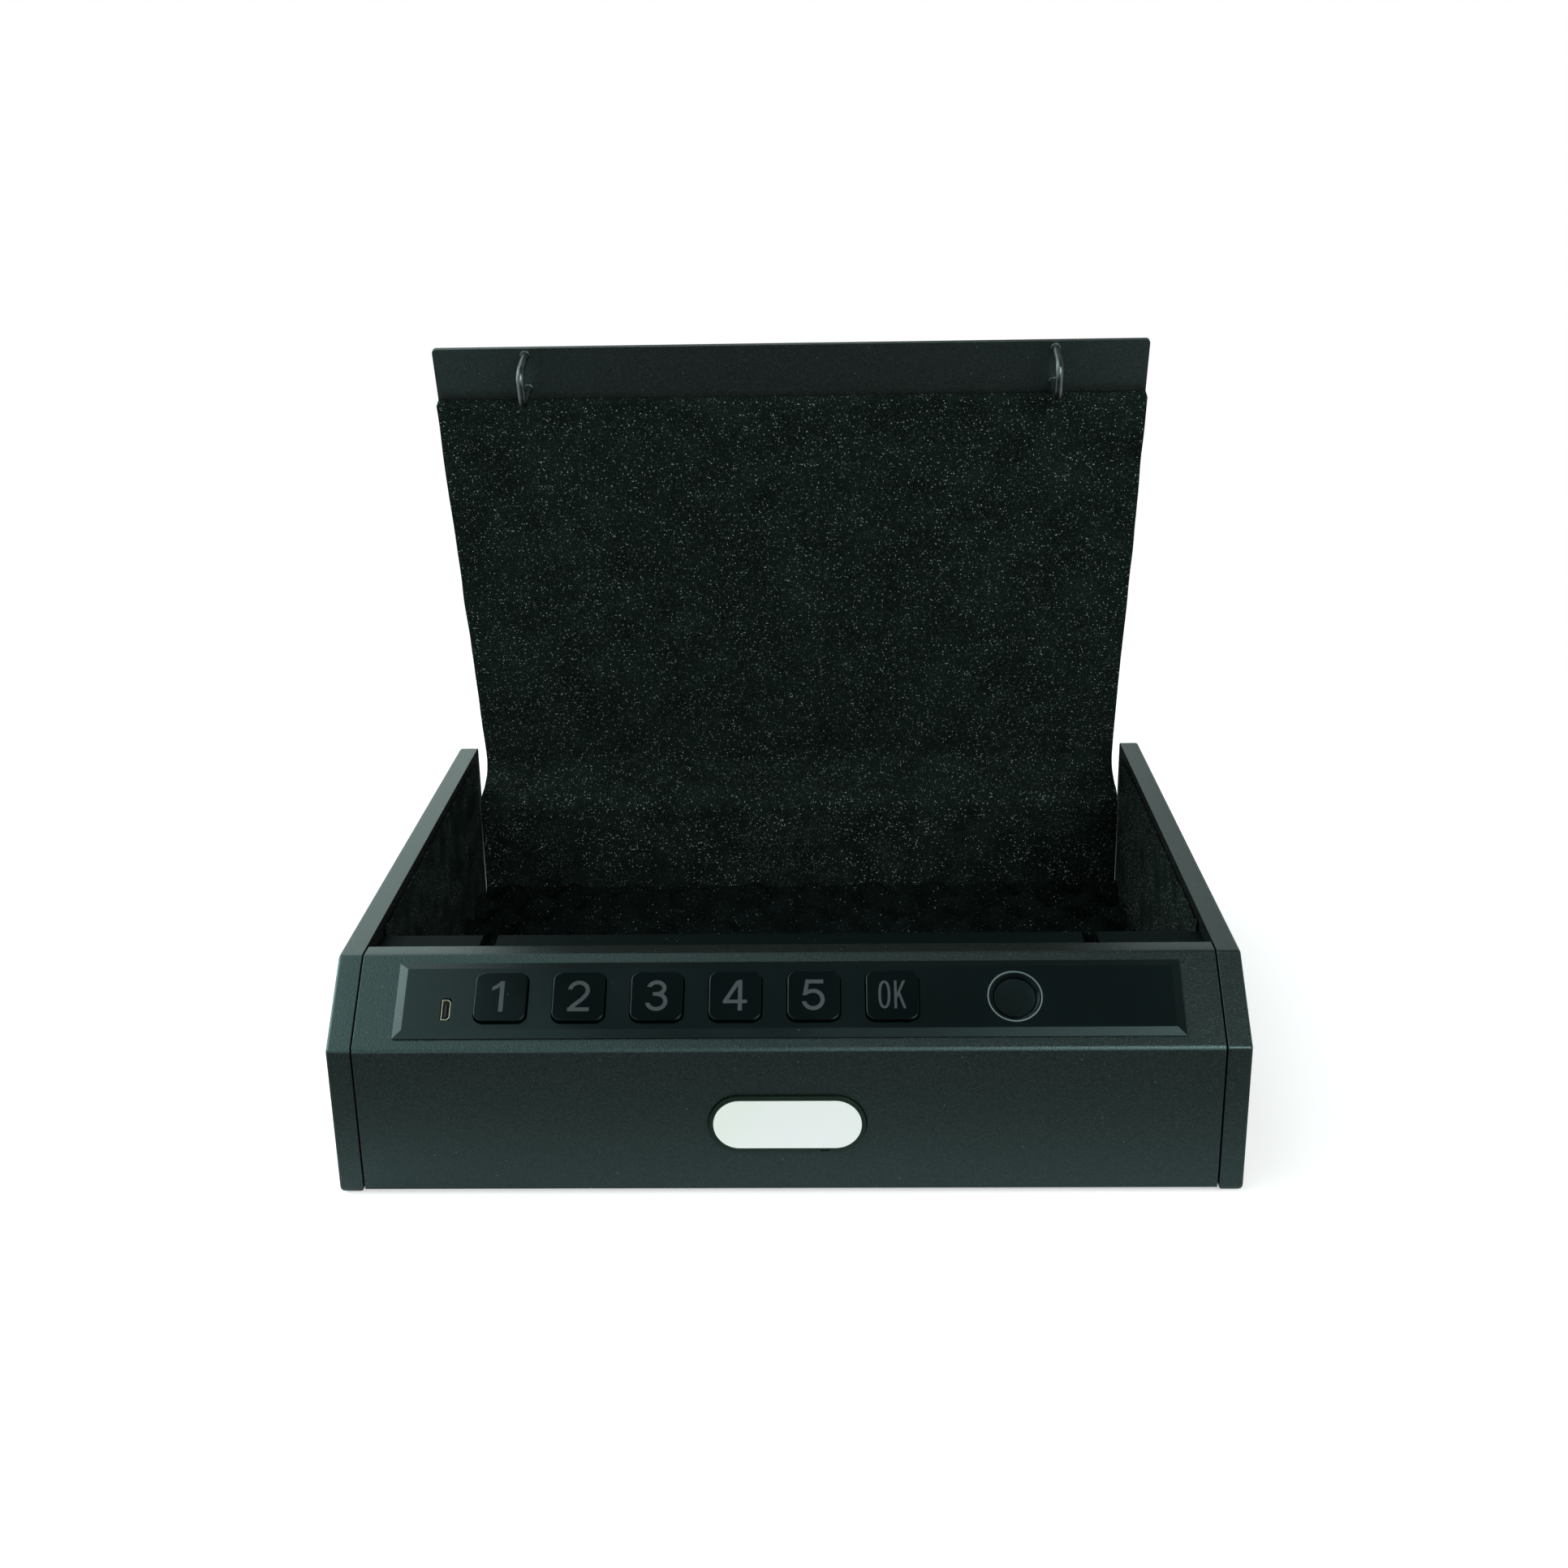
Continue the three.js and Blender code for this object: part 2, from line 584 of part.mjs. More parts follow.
// Lock bar with its hooks, rack and release finger
const barFront = strikerFront + BAR_SETBACK;
const barRear = barFront + BAR_SHEET;
const barTop = BAR_LOW + BAR_TALL;
const noseTip = STRIKER_WIRE + HOOK_RELEASE;
const pitch = Math.PI * MODULE;
const rackPitchLine = BAR_LOW - TOOTH_ROOT_DROP * MODULE;
const pinionRadius = PINION_TEETH * MODULE / 2;
const pinionUp = rackPitchLine - pinionRadius;

function hookOutline(striker) {
  const tip = striker - noseTip;
  const neck = tip - BAR_TRAVEL;
  const high = NOSE_LOW + NOSE_TALL;
  return [
    [neck - HOOK_SHANK, barTop - SHEET_BEND], [neck, barTop - SHEET_BEND], [neck, NOSE_LOW], [tip, NOSE_LOW],
    [tip, high - NOSE_SLOPE], [neck, high], [neck - HOOK_SHANK + SHEET_BEND, high], [neck - HOOK_SHANK, high - SHEET_BEND],
  ];
}

// Rack teeth point down. A gap sits over the pinion when the bar is drawn back.
function rackOutline() {
  const [root, mid, tip] = RACK_TOOTH_SHARES.map((share) => share * pitch);
  const points = [];
  const start = PINION_X - (RACK_TEETH - 1) / 2 * pitch - pitch / 2;
  points.push([start - root, BAR_LOW + SHEET_BEND]);
  for (let i = 0; i < RACK_TEETH; i++) {
    const x = start + i * pitch;
    points.push([x - root, BAR_LOW], [x - mid, rackPitchLine], [x - tip, rackPitchLine - MODULE],
      [x + tip, rackPitchLine - MODULE], [x + mid, rackPitchLine], [x + root, BAR_LOW]);
  }
  points.push([start + (RACK_TEETH - 1) * pitch + root, BAR_LOW + SHEET_BEND]);
  return points;
}
const fingerRight = -CAM_HALF - FINGER_GAP;
const camFront = BARREL_LENGTH + SEAT;
const barLeft = -STRIKER_SPREAD - noseTip - BAR_TRAVEL - HOOK_SHANK - BAR_TAIL;
const barRight = STRIKER_SPREAD - noseTip - BAR_TRAVEL;
const slotRadius = GUIDE_RADIUS + SEAT;
const guideUp = BAR_LOW + GUIDE_UP;
function guideSlot(x) {
  return extrudeY(roundRect(BAR_TRAVEL + 2 * slotRadius, 2 * slotRadius, slotRadius, x - BAR_TRAVEL / 2, guideUp),
    barFront - OVERRUN, barRear + OVERRUN);
}
add(safe, 'lock_bar', cut(
  join(
    extrudeY(roundRect(barRight - barLeft, BAR_TALL, SHEET_BEND, (barLeft + barRight) / 2, BAR_LOW + BAR_TALL / 2),
      barFront, barRear),
    extrudeY(hookOutline(-STRIKER_SPREAD), barFront, barRear),
    extrudeY(hookOutline(STRIKER_SPREAD), barFront, barRear),
    extrudeY(rackOutline(), barFront, barRear),
    box(fingerRight - FINGER_SHEET, fingerRight, camFront, barRear, BAR_LOW - FINGER_DROP, BAR_LOW + SHEET_BEND),
  ),
  guideSlot(-GUIDE_X), guideSlot(GUIDE_X),
), STEEL());

const bracketFront = barRear + SEAT + SEAT;
const bracket = sheetOutline([
  [bracketFront, barTop + BRACKET_RISE], [bracketFront, LOCK_FLOOR], [bracketFront + BRACKET_FOOT, LOCK_FLOOR],
].reverse(), SHEET, SHEET_BEND);
const guideHole = (x) => rodY(slotRadius, bracketFront - OVERRUN, bracketFront + SHEET + OVERRUN, x, guideUp);
const shaftHole = rodY(SHAFT_RADIUS + SEAT, bracketFront - OVERRUN, bracketFront + SHEET + OVERRUN, PINION_X, pinionUp);
add(safe, 'bar_bracket', cut(extrudeX(bracket, -BRACKET_REACH, BRACKET_REACH),
  guideHole(-GUIDE_X), guideHole(GUIDE_X), shaftHole), STEEL());

const guideHeadFront = barFront - SEAT - GUIDE_HEAD_SHEET;
const guideRivetFront = bracketFront + SHEET + SEAT;
for (const [name, x] of [['guide_pin_left', -GUIDE_X], ['guide_pin_right', GUIDE_X]]) {
  add(safe, name, turned([
    [0, guideHeadFront], [GUIDE_HEAD, guideHeadFront], [GUIDE_HEAD, barFront - SEAT], [GUIDE_RADIUS, barFront - SEAT],
    [GUIDE_RADIUS, guideRivetFront], [GUIDE_RIVET, guideRivetFront], [GUIDE_RIVET, guideRivetFront + GUIDE_RIVET_SHEET],
    [0, guideRivetFront + GUIDE_RIVET_SHEET],
  ], SMALL_SIDES).translate(x, 0, guideUp), STEEL());
}

// Drive: pinion, gear motor and its mount
function pinionOutline() {
  const [root, mid, tip] = PINION_TOOTH_SHARES.map((share) => share * 2 * Math.PI / PINION_TEETH);
  const points = [];
  for (let i = 0; i < PINION_TEETH; i++) {
    const angle = Math.PI / 2 - i / PINION_TEETH * 2 * Math.PI;
    const spots = [[root, pinionRadius - TOOTH_ROOT_DROP * MODULE], [mid, pinionRadius], [tip, pinionRadius + MODULE],
      [-tip, pinionRadius + MODULE], [-mid, pinionRadius], [-root, pinionRadius - TOOTH_ROOT_DROP * MODULE]];
    for (const [turn, radius] of spots) {
      points.push([PINION_X + radius * Math.cos(angle + turn), pinionUp + radius * Math.sin(angle + turn)]);
    }
  }
  return points;
}
const pinionFront = barFront - PINION_OVERHANG;
add(safe, 'drive_pinion', cut(extrudeY(pinionOutline(), pinionFront, barRear + PINION_OVERHANG),
  rodY(SHAFT_RADIUS + SEAT, pinionFront - OVERRUN, barRear + OVERRUN, PINION_X, pinionUp)), BRASS());

const mountRear = pinionFront - MOUNT_GAP;
const gearboxRear = mountRear - SHEET - SEAT;
const gearboxFront = gearboxRear - GEARBOX_LENGTH;
const motorFront = gearboxFront - MOTOR_LENGTH;
add(safe, 'gear_motor', join(
  box(PINION_X - GEARBOX_WIDTH / 2, PINION_X + GEARBOX_WIDTH / 2, gearboxFront, gearboxRear,
    pinionUp - GEARBOX_TALL / 2, pinionUp + GEARBOX_TALL / 2),
  extrudeY(roundRect(GEARBOX_WIDTH, GEARBOX_TALL, MOTOR_ROUND, PINION_X, pinionUp, BEND_STEPS + 1),
    motorFront, gearboxFront + SEAT),
  box(PINION_X - TERMINAL_WIDTH / 2, PINION_X + TERMINAL_WIDTH / 2, motorFront - TERMINAL_LENGTH, motorFront + SEAT,
    pinionUp - SHAFT_RADIUS, pinionUp + SHAFT_RADIUS),
  rodY(SHAFT_RADIUS, gearboxRear - SEAT, bracketFront + SHEET, PINION_X, pinionUp, SMALL_SIDES),
), STEEL());
const mount = sheetOutline([
  [mountRear, pinionUp + GEARBOX_TALL / 2 - MOUNT_MARGIN], [mountRear, LOCK_FLOOR], [mountRear - MOUNT_FOOT, LOCK_FLOOR],
], SHEET, SHEET_BEND);
add(safe, 'motor_mount', cut(
  extrudeX(mount, PINION_X - MOUNT_HALF, PINION_X + MOUNT_HALF),
  rodY(SHAFT_RADIUS + SEAT, mountRear - SHEET - OVERRUN, mountRear + OVERRUN, PINION_X, pinionUp),
), STEEL());

// Override key lock, and the badge over it
const headFront = -SEAT - BARREL_HEAD_SHEET;
add(safe, 'lock_cylinder', turned([
  [PLUG_RADIUS + SEAT, headFront], [BARREL_RADIUS + BARREL_HEAD, headFront], [BARREL_RADIUS + BARREL_HEAD, -SEAT],
  [BARREL_RADIUS, -SEAT], [BARREL_RADIUS, BARREL_LENGTH], [PLUG_RADIUS + SEAT, BARREL_LENGTH],
  [PLUG_RADIUS + SEAT, headFront],
]).translate(0, 0, BADGE_UP), STEEL());
const nutRadius = NUT_ACROSS / 2 / Math.cos(Math.PI / 6);
add(safe, 'lock_nut', cut(
  rodY(nutRadius, SHEET + SEAT, SHEET + SEAT + NUT_SHEET, 0, BADGE_UP, 6),
  rodY(BARREL_RADIUS + SEAT, 0, SHEET + NUT_SHEET + OVERRUN, 0, BADGE_UP),
), BRASS());
add(safe, 'key_plug', cut(
  join(
    rodY(PLUG_RADIUS, headFront + PLUG_SINK, BARREL_LENGTH, 0, BADGE_UP),
    rodY(PLUG_STUB, BARREL_LENGTH - SEAT, BARREL_LENGTH + PLUG_STUB_LENGTH, 0, BADGE_UP),
  ),
  box(-KEYWAY_WIDTH / 2, KEYWAY_WIDTH / 2, headFront - OVERRUN, headFront + KEYWAY_DEPTH,
    BADGE_UP - KEYWAY_LENGTH / 2, BADGE_UP + KEYWAY_LENGTH / 2),
), BRASS());
function camOutline() {
  const points = [];
  for (let i = 0; i <= BEND_STEPS * 2; i++) {
    const angle = Math.PI / 2 + i / (BEND_STEPS * 2) * Math.PI;
    points.push([CAM_HALF * Math.cos(angle), BADGE_UP + CAM_HALF * Math.sin(angle)]);
  }
  for (let i = 0; i <= BEND_STEPS; i++) {
    const angle = -Math.PI / 2 + i / BEND_STEPS * Math.PI;
    points.push([CAM_REACH - CAM_TIP + CAM_TIP * Math.cos(angle), BADGE_UP + CAM_TIP * Math.sin(angle)]);
  }
  return points;
}
add(safe, 'key_cam', cut(extrudeY(camOutline(), camFront, camFront + CAM_SHEET),
  rodY(PLUG_STUB + SEAT, camFront - OVERRUN, camFront + CAM_SHEET + OVERRUN, 0, BADGE_UP)), STEEL());

const pill = (inset) => roundRect(BADGE_LENGTH - 2 * inset, BADGE_WIDTH - 2 * inset, BADGE_WIDTH / 2 - inset,
  0, 0, CORNER_STEPS * 2);
const badge = new THREE.Group();
badge.position.set(0, -SEAT, BADGE_UP);
badge.rotation.x = Math.PI / 2;
safe.add(badge);
const headRoom = BARREL_RADIUS + BARREL_HEAD + SEAT;
add(badge, 'badge_rim', cut(
  loft([[pill(0), 0], [pill(0), BADGE_PROUD - BADGE_ROUND],
    [pill(BADGE_ROUND * (1 - Math.SQRT1_2)), BADGE_PROUD - BADGE_ROUND * (1 - Math.SQRT1_2)],
    [pill(BADGE_ROUND), BADGE_PROUD]]),
  extrudeZ(pill(BADGE_RIM), BADGE_PROUD - INSERT_SHEET - SEAT, BADGE_PROUD + OVERRUN),
  rodZ(headRoom, -OVERRUN, BARREL_HEAD_SHEET + SEAT, 0, 0),
  box(NICK_X - NICK_WIDTH / 2, NICK_X + NICK_WIDTH / 2, -BADGE_WIDTH / 2 - OVERRUN, -BADGE_WIDTH / 2 + NICK_DEPTH,
    -OVERRUN, BADGE_PROUD - BADGE_ROUND),
), GLOSS());
add(badge, 'badge_insert', extrudeZ(pill(BADGE_RIM + SEAT), BADGE_PROUD - INSERT_SHEET, BADGE_PROUD), WHITE());

// Control panel, in a group that lies on the slope
const panel = new THREE.Group();
panel.position.set(0, 0, FRONT_HEIGHT);
panel.rotation.x = SLOPE_ANGLE;
safe.add(panel);
const keyHole = (x) => extrudeZ(roundRect(KEY_SIDE + 2 * SEAT, KEY_SIDE + 2 * SEAT, KEY_CORNER + SEAT, x, bezelMid),
  -OVERRUN, BEZEL_HEIGHT + OVERRUN);
const keyX = KEY_NAMES.map((_, i) => (KEY_FIRST_SHARE + i * KEY_PITCH_SHARE) * BEZEL_LENGTH);
const plateau = (inset) => roundRect(BEZEL_LENGTH - 2 * inset, BEZEL_DEPTH - 2 * inset, BEZEL_CORNER, 0, bezelMid);
const skirt = (inset) => roundRect(skirtLength - 2 * inset, skirtDepth - 2 * inset, SKIRT_CORNER, 0, bezelMid);
const socketOutline = (grow, cx, cy) => {
  const [w, l, c] = [SOCKET_WIDTH / 2 + grow, SOCKET_LENGTH / 2 + grow, SOCKET_CHAMFER];
  return [[-w, -l], [w - c, -l], [w, -l + c], [w, l - c], [w - c, l], [-w, l]].map(([a, b]) => [cx + a, cy + b]);
};
const ringInner = RING_RADIUS - RING_WIDTH;
const ringLow = BEZEL_HEIGHT + RING_PROUD - RING_DEPTH;
const sensorTop = BEZEL_HEIGHT - SENSOR_SINK;
const atSensor = (geometry) => geometry.rotateX(Math.PI / 2).translate(SENSOR_X, bezelMid, 0);
const ringGroove = atSensor(turned([
  [ringInner - SEAT, ringLow - SEAT], [RING_RADIUS + SEAT, ringLow - SEAT], [RING_RADIUS + SEAT, BEZEL_HEIGHT + OVERRUN],
  [ringInner - SEAT, BEZEL_HEIGHT + OVERRUN], [ringInner - SEAT, ringLow - SEAT],
], RING_SIDES));
const dish = atSensor(turned([
  [0, -OVERRUN], [SENSOR_RADIUS + SEAT, -OVERRUN], [SENSOR_RADIUS + SEAT, sensorTop],
  [ringInner - SEAT - DISH_LIP, BEZEL_HEIGHT], [ringInner - SEAT - DISH_LIP, BEZEL_HEIGHT + OVERRUN],
  [0, BEZEL_HEIGHT + OVERRUN],
], RING_SIDES));
add(panel, 'keypad_bezel', cut(
  join(
    cut(loft([[skirt(0), -SKIRT_DROP], [skirt(0), SEAT], [plateau(0), SEAT], [plateau(BEZEL_CHAMFER), BEZEL_HEIGHT]]),
      extrudeZ(skirt(SKIRT_WALL), -SKIRT_DROP - OVERRUN, -SEAT)),
  ),
  ...keyX.map(keyHole), ringGroove, dish,
  extrudeZ(socketOutline(SOCKET_GAP, SOCKET_X, SOCKET_UP), -OVERRUN, BEZEL_HEIGHT + OVERRUN),
), GLOSS());

const keyBase = -SEAT - SEAT;
const keyTop = BEZEL_HEIGHT + KEY_PROUD;
const keyLip = -SEAT - SEAT - KEY_LIP_SHEET;
const keyOutline = (grow, x) => roundRect(KEY_SIDE + 2 * grow, KEY_SIDE + 2 * grow, KEY_CORNER + grow, x, bezelMid);
KEY_NAMES.forEach((name, i) => {
  const x = keyX[i];
  const soft = KEY_EDGE * (1 - Math.SQRT1_2);
  add(panel, name, loft([
    [keyOutline(KEY_LIP, x), keyLip], [keyOutline(KEY_LIP, x), keyBase], [keyOutline(0, x), keyBase],
    [keyOutline(0, x), keyTop - KEY_EDGE], [keyOutline(-soft, x), keyTop - soft], [keyOutline(-KEY_EDGE, x), keyTop],
  ]), KEYCAP());
});

const boardTop = -SKIRT_DROP - SEAT;
const switchTop = keyLip - KEY_TRAVEL - SEAT;
const switchAt = (x) => join(
  box(x - SWITCH_SIDE / 2, x + SWITCH_SIDE / 2, bezelMid - SWITCH_SIDE / 2, bezelMid + SWITCH_SIDE / 2,
    boardTop - SEAT, switchTop - SWITCH_STEM_HEIGHT),
  rodZ(SWITCH_STEM, boardTop, switchTop, x, bezelMid, SMALL_SIDES),
);
add(panel, 'keypad_board', join(
  extrudeZ(skirt(0), boardTop - BOARD_SHEET, boardTop), ...keyX.map(switchAt),
), GREEN());

add(panel, 'fingerprint_ring', atSensor(turned([
  [ringInner, ringLow], [RING_RADIUS, ringLow], [RING_RADIUS, BEZEL_HEIGHT + RING_PROUD],
  [ringInner, BEZEL_HEIGHT + RING_PROUD], [ringInner, ringLow],
], RING_SIDES)), GREY());
const flangeTop = -SEAT - SEAT;
add(panel, 'fingerprint_sensor', atSensor(turned([
  [0, sensorTop - SENSOR_DEPTH], [SENSOR_RADIUS, sensorTop - SENSOR_DEPTH],
  [SENSOR_RADIUS, flangeTop - SENSOR_FLANGE_SHEET], [SENSOR_RADIUS + SENSOR_FLANGE, flangeTop - SENSOR_FLANGE_SHEET],
  [SENSOR_RADIUS + SENSOR_FLANGE, flangeTop], [SENSOR_RADIUS, flangeTop], [SENSOR_RADIUS, sensorTop], [0, sensorTop],
], RING_SIDES)), GLOSS());

const socketTop = BEZEL_HEIGHT - SOCKET_SINK;
const socketLow = socketTop - SOCKET_DEPTH;
add(panel, 'usb_port', join(
  cut(extrudeZ(socketOutline(0, SOCKET_X, SOCKET_UP), socketLow, socketTop),
    extrudeZ(socketOutline(-SOCKET_WALL, SOCKET_X, SOCKET_UP), socketLow + SOCKET_BACK, socketTop + OVERRUN)),
  box(SOCKET_X - TONGUE_SHEET / 2, SOCKET_X + TONGUE_SHEET / 2, SOCKET_UP - TONGUE_LENGTH / 2,
    SOCKET_UP + TONGUE_LENGTH / 2, socketLow + SOCKET_BACK - SEAT, socketTop - TONGUE_SINK),
), BRASS());

// Lid, drawn shut about the hinge axis and turned open by its group
const lid = new THREE.Group();
lid.position.set(0, BACK_FACE, HINGE_HEIGHT);
lid.rotation.x = -LID_OPEN;
safe.add(lid);
const shut = (geometry) => geometry.translate(0, -BACK_FACE, -HINGE_HEIGHT);
const lidHalf = LID_WIDTH / 2;
function lidCorner(side) {
  const x = side * (lidHalf - LID_CORNER);
  const block = box(Math.min(x, x + side * OVERRUN), Math.max(x, x + side * OVERRUN), LID_FRONT - OVERRUN,
    LID_FRONT + LID_CORNER, lidUnder - OVERRUN, CASE_HEIGHT + OVERRUN);
  return cut(block, rodZ(LID_CORNER, lidUnder - OVERRUN - SEAT, CASE_HEIGHT + OVERRUN + SEAT, x, LID_FRONT + LID_CORNER,
    SMALL_SIDES));
}
const lidOutline = sheetOutline([[LID_FRONT, CASE_HEIGHT], [BACK_FACE, CASE_HEIGHT], [BACK_FACE, FLANGE_LOW]],
  LID_SHEET, LID_BEND);
add(lid, 'lid_shell', shut(cut(extrudeX(lidOutline, -lidHalf, lidHalf), lidCorner(-1), lidCorner(1))), POWDER());

const foamFront = HOUSING_BACK + LID_FOAM_CLEAR;
const foamTop = lidUnder - SEAT;
const foamRear = BACK_FACE - LID_SHEET - SEAT;
add(lid, 'lid_foam', shut(extrudeX(sheetOutline([[foamFront, foamTop], [foamRear, foamTop], [foamRear, FLANGE_LOW]],
  LID_FOAM, LID_FOAM_BEND), -lidHalf, lidHalf)), FOAM());

function strikerPath(x) {
  const top = lidUnder - SEAT;
  const at = (y, z) => new THREE.Vector3(x, y, z);
  const path = new THREE.CurvePath();
  const [low, bent] = [STRIKER_LOW, STRIKER_LOW + STRIKER_BEND];
  path.add(new THREE.LineCurve3(at(strikerFront, top), at(strikerFront, bent)));
  path.add(new THREE.QuadraticBezierCurve3(at(strikerFront, bent), at(strikerFront, low),
    at(strikerFront + STRIKER_BEND, low)));
  path.add(new THREE.LineCurve3(at(strikerFront + STRIKER_BEND, low), at(strikerRear - STRIKER_BEND, low)));
  path.add(new THREE.QuadraticBezierCurve3(at(strikerRear - STRIKER_BEND, low), at(strikerRear, low),
    at(strikerRear, bent)));
  path.add(new THREE.LineCurve3(at(strikerRear, bent), at(strikerRear, top)));
  return path;
}
for (const [name, x] of [['striker_left', -STRIKER_SPREAD], ['striker_right', STRIKER_SPREAD]]) {
  add(lid, name, shut(tube(strikerPath(x), STRIKER_WIRE, STRIKER_STEPS, COIL_STEPS)), WIRE());
}

// Hinge: knuckles shared out in turn along one pin, two left out for the springs
const knuckleStep = (LID_WIDTH - 2 * PIN_END) / KNUCKLES;
const knuckleStart = -LID_WIDTH / 2 + PIN_END;
const knuckleSpan = (i) => [knuckleStart + i * knuckleStep + KNUCKLE_GAP / 2, knuckleStart + (i + 1) * knuckleStep - KNUCKLE_GAP / 2];
function hingeLeaf(parity, direction) {
  const places = Array.from({ length: KNUCKLES }, (_, i) => i).filter((i) => i % 2 === parity && !SPRING_KNUCKLES.includes(i));
  const [near, far] = [direction * PIN_RADIUS, direction * LEAF_REACH];
  const root = direction * (KNUCKLE_RADIUS + SEAT);
  const plate = box(knuckleStart, -knuckleStart, SEAT, SEAT + LEAF_SHEET, Math.min(root, far), Math.max(root, far));
  const bodies = places.flatMap((i) => {
    const [from, to] = knuckleSpan(i);
    return [rodX(KNUCKLE_RADIUS, from, to, 0, 0, SMALL_SIDES),
      box(from, to, SEAT, SEAT + LEAF_SHEET, Math.min(near, root + direction * SEAT), Math.max(near, root + direction * SEAT))];
  });
  return cut(join(plate, ...bodies), rodX(PIN_RADIUS + SEAT, knuckleStart - OVERRUN, -knuckleStart + OVERRUN, 0, 0, SMALL_SIDES));
}
const hinge = new THREE.Group();
hinge.position.set(0, BACK_FACE, HINGE_HEIGHT);
safe.add(hinge);
add(hinge, 'hinge_leaf_case', hingeLeaf(0, -1), STEEL());
add(lid, 'hinge_leaf_lid', hingeLeaf(1, 1), STEEL());
add(hinge, 'hinge_pin', rodX(PIN_RADIUS, knuckleStart, -knuckleStart, 0, 0, SMALL_SIDES), STEEL());

// One wire: a leg down the back wall, turns round the pin, and a leg along the open lid's rear flange.
class LidSpring extends THREE.Curve {
  constructor(from, to) {
    super();
    Object.assign(this, { from, to, sweep: 2 * Math.PI * SPRING_TURNS - LID_OPEN });
    this.coil = this.sweep * Math.hypot(SPRING_COIL, (to - from) / this.sweep);
    this.whole = this.coil + 2 * SPRING_LEG;
  }

  getPoint(t, target = new THREE.Vector3()) {
    const run = t * this.whole;
    const on = THREE.MathUtils.clamp((run - SPRING_LEG) / this.coil, 0, 1);
    const angle = on * this.sweep;
    const extra = run < SPRING_LEG ? run - SPRING_LEG : Math.max(0, run - SPRING_LEG - this.coil);
    return target.set(this.from + on * (this.to - this.from),
      SPRING_COIL * Math.cos(angle) - extra * Math.sin(angle), SPRING_COIL * Math.sin(angle) + extra * Math.cos(angle));
  }
}
const springSteps = Math.round(SPRING_TURNS * COIL_STEPS * (1 + 2 * SPRING_LEG / (2 * Math.PI * SPRING_COIL * SPRING_TURNS)));

// Least clear space between points of one wire that lie more than half a turn apart along it.
function leastGap(path) {
  const spots = path.getSpacedPoints(springSteps * GAP_POINTS);
  const apart = Math.ceil(Math.PI * SPRING_COIL / (path.getLength() / (springSteps * GAP_POINTS)));
  let least = Infinity;
  for (let i = 0; i + apart < spots.length; i++) {
    for (let j = i + apart; j < spots.length; j++) least = Math.min(least, spots[i].distanceTo(spots[j]));
  }
  return least - 2 * SPRING_WIRE;
}
['lid_spring_left', 'lid_spring_right'].forEach((name, i) => {
  const [from, to] = knuckleSpan(SPRING_KNUCKLES[i]);
  const path = new LidSpring(from + SPRING_END, to - SPRING_END);
  add(hinge, name, tube(path, SPRING_WIRE, springSteps, WIRE_SIDES), WIRE());
  console.log(`${name}: least gap of the wire to itself ${leastGap(path).toFixed(2)} mm`);
});

// Foam lining of the case
const foamLeft = -INNER_HALF + SEAT + SIDE_FOAM + SEAT;
const liningFront = HOUSING_BACK + SEAT;
const backFoamRear = BACK_FACE - SHEET - SEAT;
const backFoamFront = backFoamRear - BACK_FOAM;
add(safe, 'back_foam', box(foamLeft + BACK_FOAM_INSET, -foamLeft - BACK_FOAM_INSET, backFoamFront, backFoamRear,
  LOCK_FLOOR, BACK_WALL_TOP), FOAM());
const sideFoam = box(INNER_HALF - SEAT - SIDE_FOAM, INNER_HALF - SEAT, liningFront, backFoamFront - SIDE_FOAM_STOP,
  LOCK_FLOOR, CASE_HEIGHT - SIDE_FOAM_DROP);
add(safe, 'side_foam_right', sideFoam, FOAM());
add(safe, 'side_foam_left', mirrored(sideFoam), FOAM());

